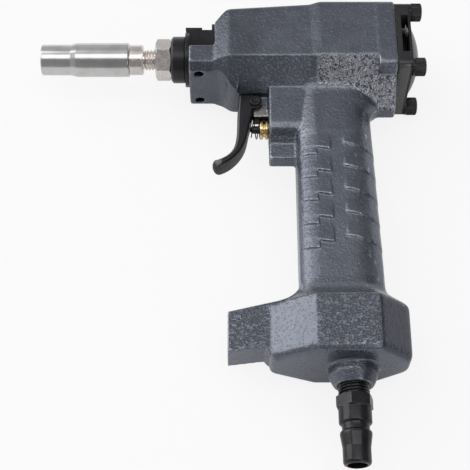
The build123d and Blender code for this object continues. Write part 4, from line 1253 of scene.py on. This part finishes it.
@dataclass
class TriggerValve:
    """Trigger on its pin, and the air valve that it pushes, in mm.

    A row of guide_rings is a distance from the guide's front and a depth below its head's radius.
    """

    stem_y: float = -39.3
    guide_start: float = 102.8
    guide_face: float = 107.2
    guide_end: float = 118.2
    guide_head_r: float = 4.4
    guide_body_r: float = 3.8
    guide_rings: Profile = (
        (0.0, 0.5), (0.5, 0.0), (1.6, 0.0), (1.9, 1.0), (2.6, 1.0),
        (2.9, 0.0), (3.9, 0.0), (4.1, 0.5), (4.4, 0.5),
    )
    guide_sides: int = 72
    guide_easing: float = 0.15
    seal_half: float = 0.5
    seal_depth: float = 0.9
    stem_bore_r: float = 1.85
    coil: Coil = Coil(start=99.13, end=102.53, radius=4.15, wire=0.5, turns=1.25, first=-0.25)
    spring_keep: float = 0.78
    lever_edge: float = 0.3
    pin_edge: float = 0.12
    clip_edge: float = 0.08
    stem_edge: float = 0.08

    @property
    def axle(self) -> Axle:
        """Line of the valve's stem."""
        return Axle((0.0, self.stem_y, 0.0))

    def guide(self) -> Piece:
        """Build the brass guide with its two rings and the groove of its seal.

        Returns:
            The piece.
        """
        seal = (self.guide_face + self.guide_end) / 2
        rings = [(self.guide_start + along, self.guide_head_r - depth) for along, depth in self.guide_rings]
        outline = [
            (self.guide_start, self.stem_bore_r),
            *rings,
            (self.guide_face, self.guide_body_r),
            (seal - self.seal_half, self.guide_body_r),
            (seal - self.seal_half, self.guide_body_r - self.seal_depth),
            (seal + self.seal_half, self.guide_body_r - self.seal_depth),
            (seal + self.seal_half, self.guide_body_r),
            (self.guide_end, self.guide_body_r),
            (self.guide_end, self.stem_bore_r),
        ]
        turned = Lathe(self.axle, self.guide_sides).shape(rounded(outline, self.guide_easing))
        return new_piece("valve_guide_turned", turned)

    def build(self, shop: Workshop) -> None:
        """Build and dress the trigger's and the valve's pieces.

        Args:
            shop: Where they are fitted.
        """
        shop.ease("trigger", self.lever_edge, shop.lever_painted_light)
        shop.ease("trigger_pin", self.pin_edge)
        shop.ease("trigger_pin_clip", self.clip_edge)
        shop.fit(self.guide(), "valve_guide")
        shop.ease("valve_guide_o_ring", SEAL_EDGE)
        shop.ease("valve_stem", self.stem_edge)
        shop.ease("valve_stem_o_rings", SEAL_EDGE)
        spring = self.coil.wound("valve_spring_coil", self.axle)
        shop.fit(spring, "valve_spring")
        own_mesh(spring)


@dataclass
class Barrel:
    """Cylinder, piston and head valve inside the casting, in mm along the drive axis."""

    coil: Coil = Coil(start=152.17, end=165.88, radius=9.95, wire=1.2, turns=4.0)
    spring_seat: float = 166.5
    spring_keep: float = 0.80
    turned_edge: float = 0.12
    bumper_edge: float = 0.3

    def build(self, shop: Workshop) -> None:
        """Build and dress the barrel's pieces.

        Args:
            shop: Where they are fitted.
        """
        for node in ("cylinder_sleeve", "piston", "driver_rod", "head_valve"):
            shop.ease(node, self.turned_edge)
        for node in ("cylinder_o_rings", "piston_o_ring", "head_valve_o_ring"):
            shop.ease(node, SEAL_EDGE)
        shop.ease("driver_bumper", self.bumper_edge)
        spring = self.coil.wound("head_valve_spring_coil", Axle())
        shop.fit(spring, "head_valve_spring")
        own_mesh(spring)


@dataclass
class RearEnd:
    """Gasket, cap, exhaust plate, and the four screws with their washers, in mm.

    A row of crown is a distance down from a screw's top, one in from its side, and a share of the knurl.
    """

    screw_y: float = 15.5
    screw_z: float = 16.2
    shank_start: float = 158.6
    shank_r: float = 2.5
    head_start: float = 174.0
    head_end: float = 179.0
    head_r: float = 4.25
    socket_flats: float = 4.0
    socket_depth: float = 2.6
    socket_mouth: float = 0.4
    socket_edge: float = 0.2
    shank_edge: float = 0.4
    head_edge: float = 0.2
    crown: tuple[Point, ...] = ((0.5, 0.0, 1.0), (0.4, 0.12, 0.5), (0.15, 0.5, 0.0), (0.0, 0.8, 0.0))
    knurl: float = 0.22
    ridges: int = 32
    screw_sides: int = 192
    screw_sharp_deg: float = 35.0
    gasket_edge: float = 0.05
    cap_edge: float = 0.3
    plate_edge: float = 0.15
    washer_edge: float = 0.1

    def screws(self) -> Piece:
        """Build the four socket head screws, with knurled heads.

        Returns:
            The piece.
        """
        flats = self.socket_flats
        rings = [
            Ring(self.shank_start, 0.0),
            Ring(self.shank_start, self.shank_r - self.shank_edge),
            Ring(self.shank_start + self.shank_edge, self.shank_r),
            Ring(self.head_start, self.shank_r),
            Ring(self.head_start, self.head_r - self.head_edge),
            Ring(self.head_start + self.head_edge, self.head_r, knurl=self.knurl),
        ]
        for down, inward, share in self.crown:
            rings.append(Ring(self.head_end - down, self.head_r - inward, knurl=self.knurl * share))
        rings += [
            Ring(self.head_end, flats, flats=flats + self.socket_mouth),
            Ring(self.head_end - self.socket_edge, flats, flats=flats),
            Ring(self.head_end - self.socket_depth, flats, flats=flats),
            Ring(self.head_end - self.socket_depth, 0.0),
        ]
        whole = bmesh.new()
        for y in (self.screw_y, -self.screw_y):
            for z in (self.screw_z, -self.screw_z):
                lathe = Lathe(Axle((0.0, y, z)), self.screw_sides, turn_deg=y + z, ridges=self.ridges)
                one = bpy.data.meshes.new("screw")
                turned = lathe.shape(rings)
                turned.to_mesh(one)
                turned.free()
                whole.from_mesh(one)
                bpy.data.meshes.remove(one)
        return new_piece("cap_screws_knurled", whole, self.screw_sharp_deg)

    def build(self, shop: Workshop) -> None:
        """Build and dress the rear end's pieces.

        Args:
            shop: Where they are fitted.
        """
        shop.ease("cap_gasket", self.gasket_edge)
        shop.ease("rear_cap", self.cap_edge, shop.painted)
        shop.ease("exhaust_plate", self.plate_edge)
        shop.ease("cap_lock_washers", self.washer_edge)
        shop.fit(self.screws(), "cap_screws")


@dataclass
class AirPlug:
    """Quick-coupler plug with its hexagon and taper thread, in mm down from the drive axis."""

    x: float = 140.8
    thread_start: float = 155.4
    hex_start: float = 168.8
    hex_end: float = 174.1
    groove_start: float = 180.7
    groove_end: float = 183.9
    waist: float = 190.5
    end: float = 197.7
    bore_r: float = 4.1
    thread_r: float = 6.575
    thread_depth: float = 0.85
    thread_pitch: float = 1.34
    hex_flats: float = 14.0
    hex_turn_deg: float = 45.0
    body_r: float = 6.85
    groove_r: float = 5.7
    nose_r: float = 6.6
    waist_r: float = 5.8
    land: float = 1.4
    tip_r: float = 1.2
    tip_inset: float = 0.35
    thread_gap: float = 0.3
    hex_bevel: float = 0.5
    hex_steps: int = 5
    edge: float = 0.5
    ramp: float = 0.25
    easing: float = 0.3
    sides: int = 96
    sharp_deg: float = 25.0

    def build(self, shop: Workshop) -> None:
        """Build and dress the plug.

        Args:
            shop: Where it is fitted.
        """
        thread_end = self.hex_start - self.thread_gap
        lower = [
            (self.hex_end, self.body_r),
            (self.groove_start - self.edge, self.body_r),
            (self.groove_start, self.body_r - self.edge),
            (self.groove_start, self.groove_r),
            (self.groove_end - self.ramp, self.groove_r),
            (self.groove_end + self.ramp, self.nose_r),
            (self.groove_end + self.land, self.nose_r),
            (self.waist, self.waist_r),
            (self.end - self.tip_r, self.waist_r),
            (self.end - self.tip_inset, self.waist_r - self.tip_inset),
            (self.end, self.waist_r - self.tip_r),
            (self.end, self.bore_r),
        ]
        rings = [
            Ring(self.thread_start, self.bore_r),
            *threaded(self.thread_start, thread_end, self.thread_r, self.thread_depth, self.thread_pitch),
            *hexagon(
                self.hex_start, self.hex_end, self.hex_flats, self.body_r, self.hex_bevel, self.hex_steps
            ),
            Ring(*lower[0]),
            *rounded(lower, self.easing)[EASE_STEPS + 1:],
        ]
        axle = Axle((self.x, 0.0, 0.0), (0.0, -1.0, 0.0), (1.0, 0.0, 0.0))
        turned = Lathe(axle, self.sides, self.thread_pitch, self.hex_turn_deg).shape(rings)
        shop.fit(new_piece("air_plug_turned", turned, self.sharp_deg), "air_plug", shop.oiled)


@dataclass(frozen=True)
class Softbox:
    """Flat studio light that faces the nailer, in metres."""

    name: str
    way: Point
    distance: float
    width: float
    height: float
    glow: float

    def build(self, target: Vector) -> None:
        """Hang the light.

        Args:
            target: Point that it faces.
        """
        data = bpy.data.lights.new(self.name, "AREA")
        data.shape = "RECTANGLE"
        data.size = self.width
        data.size_y = self.height
        data.energy = self.glow * pi * self.width * self.height
        lamp = in_scene(self.name, data)
        way = Vector(self.way).normalized()
        lamp.location = target + way * self.distance
        lamp.rotation_euler = way.to_track_quat("Z", "Y").to_euler()


@dataclass
class Studio:
    """Pale floor, softboxes, sky and camera."""

    floor_z: float = -0.02141
    floor_tilt_deg: float = -0.72
    floor_half: float = 4.0
    floor_paint: Colour = (0.90, 0.90, 0.90)
    floor_rough: float = 0.9
    floor_seen: float = 0.85
    floor_mirrored: float = 0.15
    sweep_y: Ramp = (0.05, 0.15)
    sweep_mirrored: float = 0.85
    target: Point = (0.0917, -0.0938, 0.0)
    camera_tilt_deg: float = 27.4
    camera_distance: float = 0.528
    lens: float = 91.915
    sensor: float = 36.0
    clip: Ramp = (0.01, 20.0)
    sky_pole: Point = (-0.72, 0.52, -0.46)
    sky_pale: Colour = (0.60, 0.60, 0.61)
    sky_dark: Colour = (0.20, 0.20, 0.21)
    sky_reach: Ramp = (-1.0, 0.8)
    boxes: tuple[Softbox, ...] = (
        Softbox("strip_overhead", (0.0, -0.085, 0.996), 1.3, 1.8, 0.66, 1.55),
        Softbox("panel_rear", (0.0, 0.40, 0.917), 1.32, 1.8, 0.6, 0.28),
        Softbox("box_left", (-0.86, 0.36, 0.36), 1.3, 0.9, 1.1, 1.8),
        Softbox("box_left_high", (-0.42, 0.48, 0.77), 1.3, 0.40, 0.45, 1.0),
        Softbox("box_right", (0.46, -0.72, 0.52), 1.3, 0.6, 0.5, 1.4),
    )

    def floor(self) -> None:
        """Lay the floor, white to the eye, with a soft shadow. Mirrored, it is white behind the nailer."""
        mesh = bmesh.new()
        bmesh.ops.create_grid(mesh, x_segments=1, y_segments=1, size=self.floor_half)
        floor = new_piece("studio_floor", mesh)
        floor.location = (self.target[0], self.target[1], self.floor_z)
        floor.rotation_euler = (radians(self.floor_tilt_deg), 0.0, 0.0)
        graph = Graph("floor_white")
        graph.set(Base_Color=self.floor_paint, Roughness=self.floor_rough)
        path = graph.add("ShaderNodeLightPath", {})
        seen = graph.math("MULTIPLY", path.outputs["Is Camera Ray"], self.floor_seen)
        mirrored = (self.floor_mirrored, self.sweep_mirrored)
        behind = graph.span(graph.measure(Measure.Y), self.sweep_y, mirrored)
        share = graph.math("ADD", seen, graph.math("MULTIPLY", path.outputs["Is Glossy Ray"], behind))
        glow = graph.add("ShaderNodeEmission", {"Color": WHITE, "Strength": 1.0})
        mixed = graph.add("ShaderNodeMixShader", {0: share, 1: graph.surface.outputs[0], 2: glow.outputs[0]})
        graph.put(graph.output.inputs["Surface"], mixed.outputs[0])
        floor.data.materials.append(graph.material)

    def sky(self) -> None:
        """Set a plain sky, white to the eye, whose light is pale from low on the left and behind."""
        world = bpy.data.worlds.new("studio_sky")
        bpy.context.scene.world = world
        world.use_nodes = True
        nodes = Nodes(world.node_tree)
        inputs = {0: nodes.add("ShaderNodeTexCoord", {}).outputs["Generated"], 1: self.sky_pole}
        pole = nodes.add("ShaderNodeVectorMath", inputs, operation="DOT_PRODUCT").outputs["Value"]
        colour = nodes.tint(nodes.span(pole, self.sky_reach), self.sky_dark, self.sky_pale)
        path = nodes.add("ShaderNodeLightPath", {})
        seen = nodes.tint(path.outputs["Is Camera Ray"], colour, WHITE)
        nodes.put(nodes.tree.nodes["Background"].inputs["Color"], seen)

    def lights(self) -> None:
        """Hang the softboxes."""
        for box in self.boxes:
            box.build(Vector(self.target))

    def camera(self) -> None:
        """Set the camera at the photograph's viewing angle."""
        data = bpy.data.cameras.new("studio_camera")
        data.lens = self.lens
        data.sensor_width = self.sensor
        data.clip_start, data.clip_end = self.clip
        camera = in_scene("studio_camera", data)
        tilt = radians(self.camera_tilt_deg)
        way = Vector((0.0, -sin(tilt), cos(tilt)))
        camera.location = Vector(self.target) + way * self.camera_distance
        camera.rotation_euler = (tilt, 0.0, 0.0)
        bpy.context.scene.camera = camera

    def build(self) -> None:
        """Set up the whole studio."""
        self.floor()
        self.sky()
        self.lights()
        self.camera()
        bpy.context.scene.view_settings.view_transform = "Standard"


def main() -> None:
    """Build every sub-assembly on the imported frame, then the studio."""
    logging.basicConfig(level=logging.INFO, format="%(name)s: %(message)s")
    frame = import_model()
    shop = Workshop(frame)
    for assembly in (
        Casting(),
        NoseAssembly(),
        NozzleAssembly(),
        TriggerValve(),
        Barrel(),
        RearEnd(),
        AirPlug(),
    ):
        assembly.build(shop)
    Studio().build()


if __name__ == "__main__":
    main()
